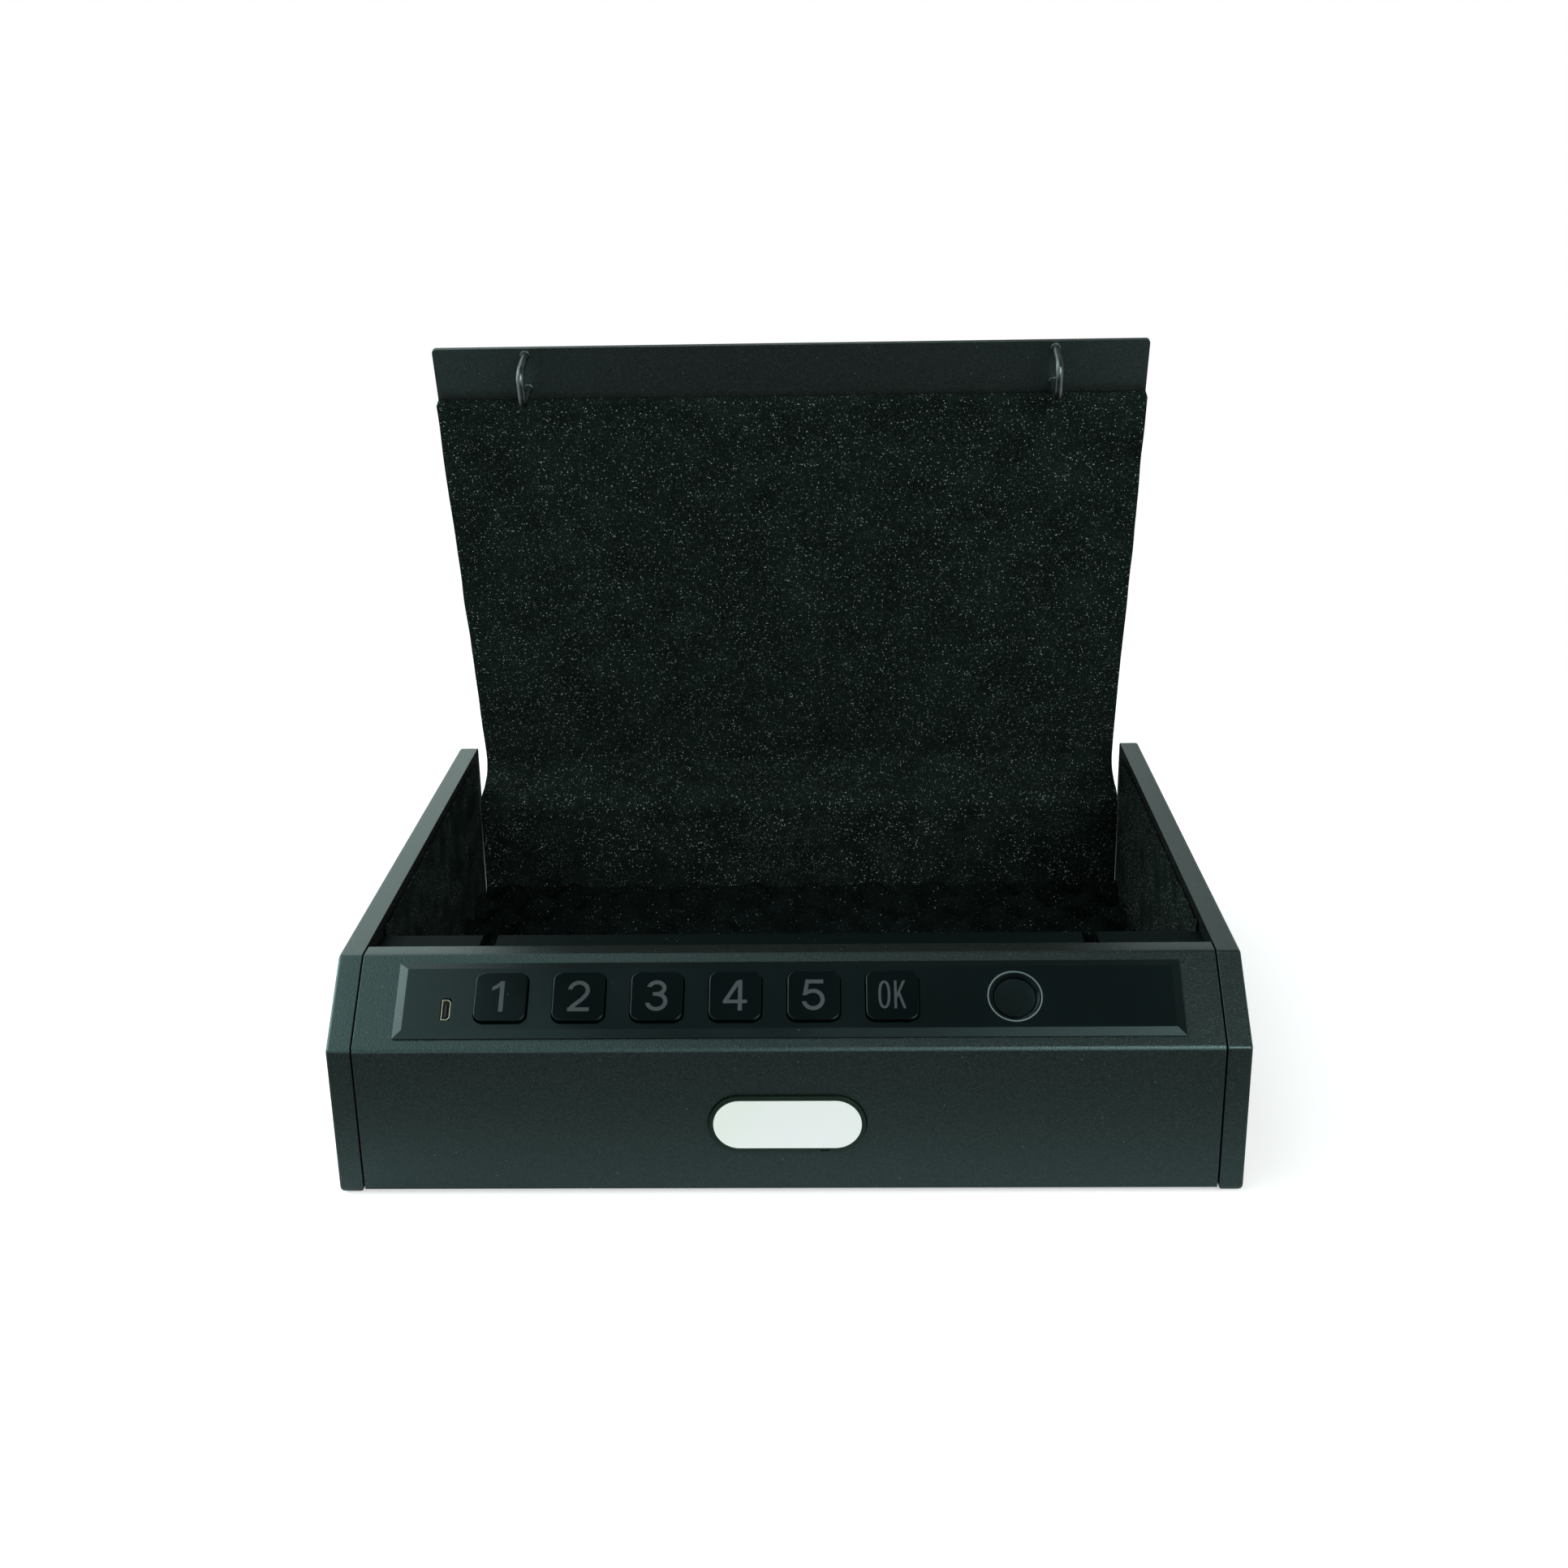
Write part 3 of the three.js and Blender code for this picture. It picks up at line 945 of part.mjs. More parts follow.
// Egg-crate foam: bumps in staggered rows on a flat base.
function crateFoam() {
  const [x0, x1] = [foamLeft, -foamLeft];
  const [y0, y1] = [liningFront, backFoamFront - SEAT];
  const top = LOCK_FLOOR + FLOOR_FOAM_THICK;
  const wave = (i) => Math.cos(i / CRATE_CELLS * 2 * Math.PI);
  const spots = [];
  const faces = [];
  const at = (i, j) => j * (CRATE_COLUMNS + 1) + i;
  for (let j = 0; j <= CRATE_ROWS; j++) {
    for (let i = 0; i <= CRATE_COLUMNS; i++) {
      spots.push(x0 + (x1 - x0) * i / CRATE_COLUMNS, y0 + (y1 - y0) * j / CRATE_ROWS,
        top - CRATE_DEPTH / 2 * (1 - wave(i) * wave(j)));
      if (i < CRATE_COLUMNS && j < CRATE_ROWS) {
        const [a, b, c, d] = [at(i, j), at(i + 1, j), at(i + 1, j + 1), at(i, j + 1)];
        if ((i + j) % 2) faces.push(a, b, d, b, c, d);
        else faces.push(a, b, c, a, c, d);
      }
    }
  }
  const base = spots.length / 3;
  spots.push(x0, y0, LOCK_FLOOR, x1, y0, LOCK_FLOOR, x1, y1, LOCK_FLOOR, x0, y1, LOCK_FLOOR);
  faces.push(base, base + 2, base + 1, base, base + 3, base + 2);
  const rim = [
    Array.from({ length: CRATE_COLUMNS + 1 }, (_, i) => at(i, 0)),
    Array.from({ length: CRATE_ROWS + 1 }, (_, j) => at(CRATE_COLUMNS, j)),
    Array.from({ length: CRATE_COLUMNS + 1 }, (_, i) => at(CRATE_COLUMNS - i, CRATE_ROWS)),
    Array.from({ length: CRATE_ROWS + 1 }, (_, j) => at(0, CRATE_ROWS - j)),
  ];
  rim.forEach((edge, side) => {
    const [from, to] = [base + side, base + (side + 1) % 4];
    for (let i = 0; i + 1 < edge.length; i++) faces.push(from, edge[i + 1], edge[i]);
    faces.push(from, to, edge.at(-1));
  });
  const geometry = new THREE.BufferGeometry();
  geometry.setAttribute('position', new THREE.Float32BufferAttribute(spots, 3));
  geometry.setIndex(faces);
  return geometry;
}
add(safe, 'floor_foam', crateFoam(), FOAM());

// The safe stands on z = 0 with the middle of its open outline over the origin.
safe.updateMatrixWorld(true);
const extent = new THREE.Box3().setFromObject(safe, true);
safe.position.y = -(extent.min.y + extent.max.y) / 2;
safe.updateMatrixWorld(true);

export default safe;
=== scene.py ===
"""Looks of the portable car safe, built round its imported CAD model. Metres, +Z up, X from left to right."""

import json
import logging
import math
from collections.abc import Callable, Iterator, Sequence
from contextlib import contextmanager
from dataclasses import dataclass, field
from enum import Enum

import bpy
from mathutils import Matrix, Vector, noise


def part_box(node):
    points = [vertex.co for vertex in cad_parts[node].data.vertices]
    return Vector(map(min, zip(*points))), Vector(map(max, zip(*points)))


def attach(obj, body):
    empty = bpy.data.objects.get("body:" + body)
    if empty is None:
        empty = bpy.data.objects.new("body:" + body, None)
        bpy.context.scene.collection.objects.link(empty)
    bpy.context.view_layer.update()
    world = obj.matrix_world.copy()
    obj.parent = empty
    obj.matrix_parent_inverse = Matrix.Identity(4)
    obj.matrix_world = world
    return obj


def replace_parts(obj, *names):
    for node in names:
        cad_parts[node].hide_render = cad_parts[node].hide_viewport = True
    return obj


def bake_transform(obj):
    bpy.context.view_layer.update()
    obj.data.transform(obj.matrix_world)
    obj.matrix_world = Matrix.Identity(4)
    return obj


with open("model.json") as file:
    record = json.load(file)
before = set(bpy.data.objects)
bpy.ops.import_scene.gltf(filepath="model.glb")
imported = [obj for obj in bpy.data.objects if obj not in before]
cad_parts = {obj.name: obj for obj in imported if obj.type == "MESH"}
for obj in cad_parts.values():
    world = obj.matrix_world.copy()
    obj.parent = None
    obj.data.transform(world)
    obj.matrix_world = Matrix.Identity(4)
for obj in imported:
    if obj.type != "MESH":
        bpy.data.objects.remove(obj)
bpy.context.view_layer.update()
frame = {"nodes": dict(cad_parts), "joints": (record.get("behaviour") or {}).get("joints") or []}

LOG = logging.getLogger("safe")
MM = 0.001
TINY = 1e-6
OVERRUN = 0.01
Colour = tuple[float, float, float]
Outline = Sequence[tuple[float, float]]
Piece = bpy.types.Object
Material = bpy.types.Material
Socket = bpy.types.NodeSocket
Test = Callable[[Vector, Vector], bool]

# Places that the CAD fixes
FRONT_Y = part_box("front_shell")[0].y
BROW_Z = 0.0558
SLOPE = math.atan2(23.2, 28.0)
HINGE = Vector(next(j for j in frame["joints"] if j["name"] == "lid_hinge")["pos_m"])
OPEN = math.radians(next(j for j in frame["joints"] if j["name"] == "lid_hinge")["range_deg"][1])
ON_PANEL = Matrix.Translation((0, FRONT_Y, BROW_Z)) @ Matrix.Rotation(SLOPE, 4, "X")
ON_LID = Matrix.Translation(HINGE) @ Matrix.Rotation(-OPEN, 4, "X") @ Matrix.Translation(-HINGE)
ON_FRONT = Matrix.Translation((0, FRONT_Y, 0)) @ Matrix.Rotation(math.pi / 2, 4, "X")


class Body(Enum):
    """Moving bodies of the safe that pieces ride on."""

    CASE = "case"
    LID = "lid"
    BADGE = "badge"


class Slot(Enum):
    """Material slots of the record."""

    POWDER = "powder_coat"
    PANEL = "gloss_panel"
    KEYCAP = "keycap"
    FOAM = "foam"
    STEEL = "plated_steel"
    WIRE = "wire_steel"
    BRASS = "brass"
    WHITE = "badge_white"
    GREY = "ring_grey"
    PLASTIC = "dark_plastic"


def shade(red: int, green: int, blue: int) -> Colour:
    """Turns a screen colour of 0 to 255 into the linear colour that a shader takes.

    Args:
        red: Screen value of red.
        green: Screen value of green.
        blue: Screen value of blue.

    Returns:
        The three linear values.
    """
    parts = [v / 255 for v in (red, green, blue)]
    return tuple(v / 12.92 if v <= 0.04045 else ((v + 0.055) / 1.055) ** 2.4 for v in parts)


# Bench work: selecting, shaping and placing


def only(*pieces: Piece) -> None:
    """Selects these pieces alone, the first of them active."""
    bpy.ops.object.select_all(action="DESELECT")
    for piece in pieces:
        piece.select_set(True)
    bpy.context.view_layer.objects.active = pieces[0]


@contextmanager
def editing(piece: Piece) -> Iterator[None]:
    """Opens a piece in edit mode with everything selected, and closes it again."""
    only(piece)
    bpy.ops.object.mode_set(mode="EDIT")
    bpy.ops.mesh.select_mode(type="VERT")
    bpy.ops.mesh.select_all(action="SELECT")
    yield
    bpy.ops.object.mode_set(mode="OBJECT")


def pick(piece: Piece, kind: str, test: Test) -> None:
    """Selects, in edit mode, the faces or edges that pass a test.

    Args:
        piece: The mesh that is open in edit mode.
        kind: FACE or EDGE.
        test: Takes the middle and the normal of a face, or the middle and the run of an edge.
    """
    bpy.ops.object.mode_set(mode="OBJECT")
    mesh = piece.data
    for group in (mesh.vertices, mesh.edges, mesh.polygons):
        group.foreach_set("select", [False] * len(group))
    if kind == "FACE":
        for face in mesh.polygons:
            face.select = test(face.center, face.normal)
    else:
        for edge in mesh.edges:
            a, b = (mesh.vertices[i].co for i in edge.vertices)
            edge.select = test((a + b) / 2, b - a)
    bpy.context.tool_settings.mesh_select_mode = (False, kind == "EDGE", kind == "FACE")
    bpy.ops.object.mode_set(mode="EDIT")


def settle(piece: Piece, place: Matrix) -> Piece:
    """Moves a piece to its place and puts that place into its mesh."""
    piece.matrix_world = place @ piece.matrix_world
    only(piece)
    bpy.ops.object.transform_apply(location=True, rotation=True, scale=True)
    return piece


def modify(piece: Piece, kind: str, **values: object) -> Piece:
    """Adds a modifier with these settings and applies it.

    Args:
        piece: The piece to change.
        kind: Blender's name of the modifier.
        values: Settings of the modifier.

    Returns:
        The same piece.
    """
    only(piece)
    added = piece.modifiers.new(kind.title(), kind)
    for name, value in values.items():
        setattr(added, name, value)
    bpy.ops.object.modifier_apply(modifier=added.name)
    return piece


def soften(piece: Piece, width: float, limit: float = 38.0, segments: int = 2) -> Piece:
    """Rounds the sharp edges of a piece and shades the rest smooth.

    Args:
        piece: The piece.
        width: Width of the rounding in metres.
        limit: Smallest angle of an edge that counts as sharp, in degrees.
        segments: Faces across each rounding.

    Returns:
        The same piece.
    """
    if width > 0:
        angle = math.radians(limit)
        modify(piece, "BEVEL", width=width, segments=segments, limit_method="ANGLE", angle_limit=angle)
    only(piece)
    bpy.ops.object.shade_smooth_by_angle(angle=math.radians(limit))
    return modify(piece, "WEIGHTED_NORMAL", weight=60, keep_sharp=True)


def drilled(piece: Piece, *cutters: Piece) -> Piece:
    """Cuts each cutter out of the piece and throws the cutter away."""
    for cutter in cutters:
        modify(piece, "BOOLEAN", operation="DIFFERENCE", solver="EXACT", object=cutter)
        bpy.data.objects.remove(cutter)
    return piece


def joined(*pieces: Piece) -> Piece:
    """Joins pieces into the first of them."""
    only(*pieces)
    bpy.ops.object.join()
    return pieces[0]


def block(
    name: str, size: Sequence[float], centre: Sequence[float], corner: float = 0.0, steps: int = 8,
) -> Piece:
    """Makes a block whose upright edges are rounded.

    Args:
        name: Name of the piece.
        size: Full sizes along X, Y and Z.
        centre: Its middle.
        corner: Radius of the upright edges.
        steps: Faces across each rounded edge.

    Returns:
        The new piece.
    """
    bpy.ops.mesh.primitive_cube_add(size=1, location=centre, scale=size)
    piece = bpy.context.object
    piece.name = piece.data.name = name
    only(piece)
    bpy.ops.object.transform_apply(location=True, rotation=True, scale=True)
    if corner > 0:
        with editing(piece):
            pick(piece, "EDGE", lambda _, run: abs(run.z) > 0.99 * run.length)
            bpy.ops.mesh.bevel(offset=corner, segments=steps, affect="EDGES")
            bpy.ops.mesh.select_mode(type="VERT")
            bpy.ops.mesh.select_all(action="SELECT")
            bpy.ops.mesh.remove_doubles(threshold=TINY)
    return piece


def cut_out(name: str, loops: Sequence[Outline], low: float, high: float) -> Piece:
    """Cuts a flat shape out of sheet.

    Args:
        name: Name of the piece.
        loops: Outlines, an inner one making a hole.
        low: Its underside.
        high: Its top.

    Returns:
        The new piece.
    """
    bpy.ops.curve.primitive_bezier_circle_add(location=(0, 0, 0))
    piece = bpy.context.object
    piece.name = name
    curve = piece.data
    curve.splines.clear()
    curve.dimensions, curve.fill_mode, curve.extrude = "2D", "BOTH", (high - low) / 2
    for loop in loops:
        spline = curve.splines.new("POLY")
        spline.points.add(len(loop) - 1)
        for point, (x, y) in zip(spline.points, loop):
            point.co = (x, y, 0, 1)
        spline.use_cyclic_u = True
    only(piece)
    bpy.ops.object.convert(target="MESH")
    with editing(piece):
        bpy.ops.mesh.remove_doubles(threshold=TINY / 2)
    return settle(piece, Matrix.Translation((0, 0, (low + high) / 2)))


def turned(name: str, profile: Outline, steps: int = 72) -> Piece:
    """Spins a profile about Z into a closed piece.

    Args:
        name: Name of the piece.
        profile: Radius and height of each point, closed on itself or ending on the axis.
        steps: Faces round the axis.

    Returns:
        The new piece.
    """
    mesh = bpy.data.meshes.new(name)
    mesh.from_pydata([(r, 0, h) for r, h in profile], [(i, i + 1) for i in range(len(profile) - 1)], [])
    piece = bpy.data.objects.new(name, mesh)
    bpy.context.scene.collection.objects.link(piece)
    with editing(piece):
        bpy.ops.mesh.spin(steps=steps, angle=math.tau, center=(0, 0, 0), axis=(0, 0, 1))
        bpy.ops.mesh.select_all(action="SELECT")
        bpy.ops.mesh.remove_doubles(threshold=TINY)
        bpy.ops.mesh.normals_make_consistent(inside=False)
    return piece


def refined(node: str, name: str, width: float, limit: float = 38.0, segments: int = 2) -> Piece:
    """Copies a CAD node, merges its faces and rounds its edges, and puts the copy in its stead.

    Args:
        node: The CAD node.
        name: Name of the new piece.
        width: Width of the rounding in metres.
        limit: Smallest angle of an edge that counts as sharp, in degrees.
        segments: Faces across each rounding.

    Returns:
        The new piece.
    """
    mesh = frame["nodes"][node].data.copy()
    mesh.name = name
    mesh.materials.clear()
    piece = bpy.data.objects.new(name, mesh)
    bpy.context.scene.collection.objects.link(piece)
    with editing(piece):
        bpy.ops.mesh.customdata_custom_splitnormals_clear()
        bpy.ops.mesh.remove_doubles(threshold=2 * TINY)
        bpy.ops.mesh.dissolve_limited(angle_limit=math.radians(0.4))
    soften(piece, width, limit, segments)
    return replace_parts(piece, node)


def fitted(piece: Piece, body: str, material: Material) -> Piece:
    """Dresses a finished piece and lets it ride on its body.

    Args:
        piece: The piece, in its place.
        body: Name of the body that carries it.
        material: Its finish.

    Returns:
        The same piece.
    """
    piece.data.materials.clear()
    piece.data.materials.append(material)
    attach(piece, body)
    LOG.info("%s rides on %s", piece.name, body)
    return piece


def dress(material: Material, *nodes: str) -> None:
    """Gives CAD nodes that stay in view a finish of their own."""
    for name in nodes:
        node = frame["nodes"][name]
        if not node.material_slots:
            node.data.materials.append(material)
        for slot in node.material_slots:
            slot.material = material
        LOG.info("%s dressed", name)


# Effects that several finishes share, as node groups


class Effects:
    """Node groups that are built once and placed in many materials."""

    made: dict[str, bpy.types.NodeTree] = {}

    @classmethod
    def start(cls, name: str, inputs: dict[str, float], outputs: Sequence[str]) -> bpy.types.NodeTree:
        """Makes an empty group that reads a Vector and numbers.

        Args:
            name: Name of the group.
            inputs: Starting value of each number.
            outputs: Names of the values that it gives.

        Returns:
            The node tree.
        """
        tree = bpy.data.node_groups.new(name, "ShaderNodeTree")
        tree.interface.new_socket("Vector", in_out="INPUT", socket_type="NodeSocketVector")
        for label, value in inputs.items():
            socket = tree.interface.new_socket(label, in_out="INPUT", socket_type="NodeSocketFloat")
            socket.default_value = value
        for label in outputs:
            tree.interface.new_socket(label, in_out="OUTPUT", socket_type="NodeSocketFloat")
        cls.made[name] = tree
        return tree

    @classmethod
    def peel(cls) -> bpy.types.NodeTree:
        """Small rolling bumps of a sprayed coat, with finer grit on them, and a slow mottle."""
        if "coat peel" in cls.made:
            return cls.made["coat peel"]
        tree = cls.start("coat peel", {"Scale": 900, "Grit": 0.35}, ("Height", "Mottle"))
        wire = Wiring(tree)
        into, out = wire.add("NodeGroupInput"), wire.add("NodeGroupOutput")
        roll = wire.add("ShaderNodeTexNoise", Detail=2.0, Roughness=0.5)
        grit = wire.add("ShaderNodeTexNoise", Detail=1.0)
        slow = wire.add("ShaderNodeTexNoise", Scale=38.0, Detail=4.0, Roughness=0.6)
        finer = wire.maths("MULTIPLY", into.outputs["Scale"], 3.1)
        for node, scale in ((roll, into.outputs["Scale"]), (grit, finer), (slow, None)):
            wire.link(into.outputs["Vector"], node.inputs["Vector"])
            if scale is not None:
                wire.link(scale, node.inputs["Scale"])
        part = wire.maths("MULTIPLY", grit.outputs["Fac"], into.outputs["Grit"])
        wire.link(wire.maths("ADD", roll.outputs["Fac"], part), out.inputs["Height"])
        wire.link(slow.outputs["Fac"], out.inputs["Mottle"])
        return tree

    @classmethod
    def pores(cls) -> bpy.types.NodeTree:
        """Open cells of foam: a height, and a mask of the few cell walls that catch the light."""
        if "foam pores" in cls.made:
            return cls.made["foam pores"]
        tree = cls.start("foam pores", {"Scale": 1500, "Share": 0.1}, ("Height", "Glint", "Mottle"))
        wire = Wiring(tree)
        into, out = wire.add("NodeGroupInput"), wire.add("NodeGroupOutput")
        cells = wire.add("ShaderNodeTexVoronoi", Randomness=1.0)
        mottle = wire.add("ShaderNodeTexNoise", Scale=55.0, Detail=5.0, Roughness=0.65)
        for node in (cells, mottle):
            wire.link(into.outputs["Vector"], node.inputs["Vector"])
        wire.link(into.outputs["Scale"], cells.inputs["Scale"])
        parts = wire.add("ShaderNodeSeparateColor")
        wire.link(cells.outputs["Color"], parts.inputs["Color"])
        lucky = wire.maths("LESS_THAN", parts.outputs["Red"], into.outputs["Share"])
        core = wire.add("ShaderNodeMapRange")
        core.inputs["From Min"].default_value = 0.42
        core.inputs["From Max"].default_value = 0.12
        wire.link(cells.outputs["Distance"], core.inputs["Value"])
        spread = wire.maths("MULTIPLY", wire.maths("POWER", parts.outputs["Green"], 2.5), 1.8)
        strength = wire.maths("MULTIPLY", spread, core.outputs["Result"])
        wire.link(wire.maths("MULTIPLY", lucky, strength), out.inputs["Glint"])
        wire.link(cells.outputs["Distance"], out.inputs["Height"])
        wire.link(mottle.outputs["Fac"], out.inputs["Mottle"])
        return tree

    @classmethod
    def dust(cls) -> bpy.types.NodeTree:
        """Sparse specks and a faint haze for smooth surfaces."""
        if "light dust" in cls.made:
            return cls.made["light dust"]
        tree = cls.start("light dust", {"Scale": 420, "Share": 0.02}, ("Specks", "Haze"))
        wire = Wiring(tree)
        into, out = wire.add("NodeGroupInput"), wire.add("NodeGroupOutput")
        cells = wire.add("ShaderNodeTexVoronoi", Randomness=1.0)
        haze = wire.add("ShaderNodeTexNoise", Scale=24.0, Detail=3.0)
        for node in (cells, haze):
            wire.link(into.outputs["Vector"], node.inputs["Vector"])
        wire.link(into.outputs["Scale"], cells.inputs["Scale"])
        parts = wire.add("ShaderNodeSeparateColor")
        wire.link(cells.outputs["Color"], parts.inputs["Color"])
        lucky = wire.maths("LESS_THAN", parts.outputs["Red"], into.outputs["Share"])
        near = wire.maths("LESS_THAN", cells.outputs["Distance"], 0.14)
        wire.link(wire.maths("MULTIPLY", lucky, near), out.inputs["Specks"])
        wire.link(haze.outputs["Fac"], out.inputs["Haze"])
        return tree


class Wiring:
    """Adds and links nodes in one tree."""

    def __init__(self, tree: bpy.types.NodeTree) -> None:
        """Keeps the tree and clears it."""
        self.tree = tree
        tree.nodes.clear()

    def add(self, kind: str, **values: object) -> bpy.types.Node:
        """Adds a node and sets its sockets.

        Args:
            kind: Blender's name of the node.
            values: Value of each named input, with _ for a space.

        Returns:
            The node.
        """
        node = self.tree.nodes.new(kind)
        for name, value in values.items():
            node.inputs[name.replace("_", " ")].default_value = value
        return node

    def link(self, source: Socket, target: Socket) -> None:
        """Links an output to an input."""
        self.tree.links.new(source, target)

    def maths(self, operation: str, first: object, second: object) -> Socket:
        """Adds a maths node.

        Args:
            operation: Blender's name of the operation.
            first: A socket or a number.
            second: A socket or a number.

        Returns:
            Its output.
        """
        node = self.tree.nodes.new("ShaderNodeMath")
        node.operation = operation
        for i, value in enumerate((first, second)):
            if isinstance(value, Socket):
                self.link(value, node.inputs[i])
            else:
                node.inputs[i].default_value = value
        return node.outputs[0]

    def group(self, tree: bpy.types.NodeTree, vector: Socket, **values: float) -> bpy.types.Node:
        """Places a shared effect.

        Args:
            tree: The effect's node group.
            vector: Coordinates that it reads.
            values: Values of its inputs.

        Returns:
            The group node.
        """
        node = self.tree.nodes.new("ShaderNodeGroup")
        node.node_tree = tree
        self.link(vector, node.inputs["Vector"])
        for name, value in values.items():
            node.inputs[name].default_value = value
        return node

    def ramp(self, source: Socket, low: float, high: float, first: float, last: float) -> Socket:
        """Maps a range of values to another, clamped.

        Args:
            source: Value to map.
            low: Start of its range.
            high: End of its range.
            first: Result at the start.
            last: Result at the end.

        Returns:
            The mapped value.
        """
        node = self.tree.nodes.new("ShaderNodeMapRange")
        self.link(source, node.inputs["Value"])
        for name, value in (("From Min", low), ("From Max", high), ("To Min", first), ("To Max", last)):
            node.inputs[name].default_value = value
        return node.outputs["Result"]

    def blend(self, mask: Socket, first: object, second: object) -> Socket:
        """Mixes two colours by a mask.

        Args:
            mask: 0 for the first, 1 for the second.
            first: A colour or a colour socket.
            second: A colour or a colour socket.

        Returns:
            The mixed colour.
        """
        node = self.tree.nodes.new("ShaderNodeMix")
        node.data_type = "RGBA"
        self.link(mask, node.inputs["Factor"])
        for socket, value in ((node.inputs[6], first), (node.inputs[7], second)):
            if isinstance(value, Socket):
                self.link(value, socket)
            else:
                socket.default_value = (*value, 1)
        return node.outputs[2]

    def level(self, mask: Socket, first: Socket, second: Socket) -> Socket:
        """Mixes two values by a mask.

        Args:
            mask: 0 for the first, 1 for the second.
            first: A value.
            second: A value.

        Returns:
            The mixed value.
        """
        node = self.tree.nodes.new("ShaderNodeMix")
        for source, socket in zip((mask, first, second), (node.inputs[0], node.inputs[2], node.inputs[3])):
            self.link(source, socket)
        return node.outputs[0]

    def bump(self, height: Socket, distance: float, strength: float = 1.0) -> Socket:
        """Turns a height into a bumped normal."""
        node = self.add("ShaderNodeBump", Strength=strength, Distance=distance)
        self.link(height, node.inputs["Height"])
        return node.outputs["Normal"]


@dataclass(frozen=True)
class Finish:
    """What every finish shares: a name, a colour, gloss and the tint of its reflections."""

    name: str
    colour: Colour
    roughness: float = 0.5
    specular: float = 0.5
    metallic: float = 0.0
    tint: Colour = (1.0, 1.0, 1.0)

    def begin(self) -> tuple[Material, Wiring, bpy.types.Node, Socket]:
        """Makes the material with its shader and the coordinates that its patterns read.

        Returns:
            The material, its wiring, the shader node and the Object coordinates.
        """
        material = bpy.data.materials.new(self.name)
        material.use_nodes = True
        wire = Wiring(material.node_tree)
        shader, out = wire.add("ShaderNodeBsdfPrincipled"), wire.add("ShaderNodeOutputMaterial")
        wire.link(shader.outputs["BSDF"], out.inputs["Surface"])
        shader.inputs["Base Color"].default_value = (*self.colour, 1)
        shader.inputs["Roughness"].default_value = self.roughness
        shader.inputs["Metallic"].default_value = self.metallic
        shader.inputs["Specular IOR Level"].default_value = self.specular
        shader.inputs["Specular Tint"].default_value = (*self.tint, 1)
        return material, wire, shader, wire.add("ShaderNodeTexCoord").outputs["Object"]


@dataclass(frozen=True)
class PowderCoat(Finish):
    """Fine-grained sprayed coat on sheet steel, its grit a little lighter."""

    grit: Colour = (0.05, 0.06, 0.058)
    peel_scale: float = 1100.0
    peel_depth: float = 0.00011

    def make(self) -> Material:
        """Builds the material."""
        material, wire, shader, place = self.begin()
        peel = wire.group(Effects.peel(), place, Scale=self.peel_scale, Grit=0.45)
        dust = wire.group(Effects.dust(), place, Scale=520.0, Share=0.035)
        base = wire.blend(wire.ramp(peel.outputs["Height"], 0.6, 1.0, 0, 0.42), self.colour, self.grit)
        base = wire.blend(wire.maths("MULTIPLY", dust.outputs["Specks"], 0.35), base, shade(120, 132, 130))
        wire.link(base, shader.inputs["Base Color"])
        rough = wire.ramp(peel.outputs["Mottle"], 0.25, 0.75, self.roughness - 0.006, self.roughness + 0.008)
        wire.link(rough, shader.inputs["Roughness"])
        wire.link(wire.bump(peel.outputs["Height"], self.peel_depth), shader.inputs["Normal"])
        return material


@dataclass(frozen=True)
class Moulded(Finish):
    """Moulded plastic with a fine spark-eroded grain and a few specks of dust."""

    grain: float = 2600.0
    depth: float = 0.00001
    specks: float = 0.25

    def make(self) -> Material:
        """Builds the material."""
        material, wire, shader, place = self.begin()
        peel = wire.group(Effects.peel(), place, Scale=self.grain, Grit=0.3)
        dust = wire.group(Effects.dust(), place, Scale=700.0, Share=0.006)
        dusty = wire.maths("MULTIPLY", dust.outputs["Specks"], self.specks)
        lighter = tuple(min(1.0, v * 1.35 + 0.0006) for v in self.colour)
        base = wire.blend(wire.ramp(dust.outputs["Haze"], 0.35, 0.7, 0, 1), self.colour, lighter)
        wire.link(wire.blend(dusty, base, shade(150, 158, 156)), shader.inputs["Base Color"])
        rough = wire.ramp(dust.outputs["Haze"], 0.3, 0.75, self.roughness, self.roughness + 0.07)
        wire.link(rough, shader.inputs["Roughness"])
        wire.link(wire.bump(peel.outputs["Height"], self.depth), shader.inputs["Normal"])
        return material


@dataclass(frozen=True)
class OpenFoam(Finish):
    """Black open-cell foam whose cell walls glint here and there."""

    # Colour of the painted highlights where cell walls glint.
    glint: Colour = (0.3, 0.36, 0.34)
    cells: float = 1500.0
    share: float = 0.12
    depth: float = 0.0006

    def make(self) -> Material:
        """Builds the material."""
        material, wire, shader, place = self.begin()
        pores = wire.group(Effects.pores(), place, Scale=self.cells, Share=self.share)
        fine = wire.group(Effects.pores(), place, Scale=self.cells * 2.3, Share=self.share * 0.8)
        dark, light = (tuple(v * share for v in self.colour) for share in (0.3, 1.7))
        base = wire.blend(wire.ramp(pores.outputs["Height"], 0.15, 0.6, 1, 0), dark, self.colour)
        base = wire.blend(wire.ramp(pores.outputs["Mottle"], 0.35, 0.7, 0, 0.5), base, light)
        small = wire.maths("MULTIPLY", fine.outputs["Glint"], 0.6)
        both = wire.maths("MAXIMUM", pores.outputs["Glint"], small)
        # Painted highlights: the glinting cell walls are mixed into the base colour as a lighter colour.
        wire.link(wire.blend(both, base, self.glint), shader.inputs["Base Color"])
        shallow = wire.maths("MULTIPLY", fine.outputs["Height"], 0.5)
        height = wire.maths("ADD", pores.outputs["Height"], shallow)
        wire.link(wire.bump(height, self.depth, 0.9), shader.inputs["Normal"])
        return material


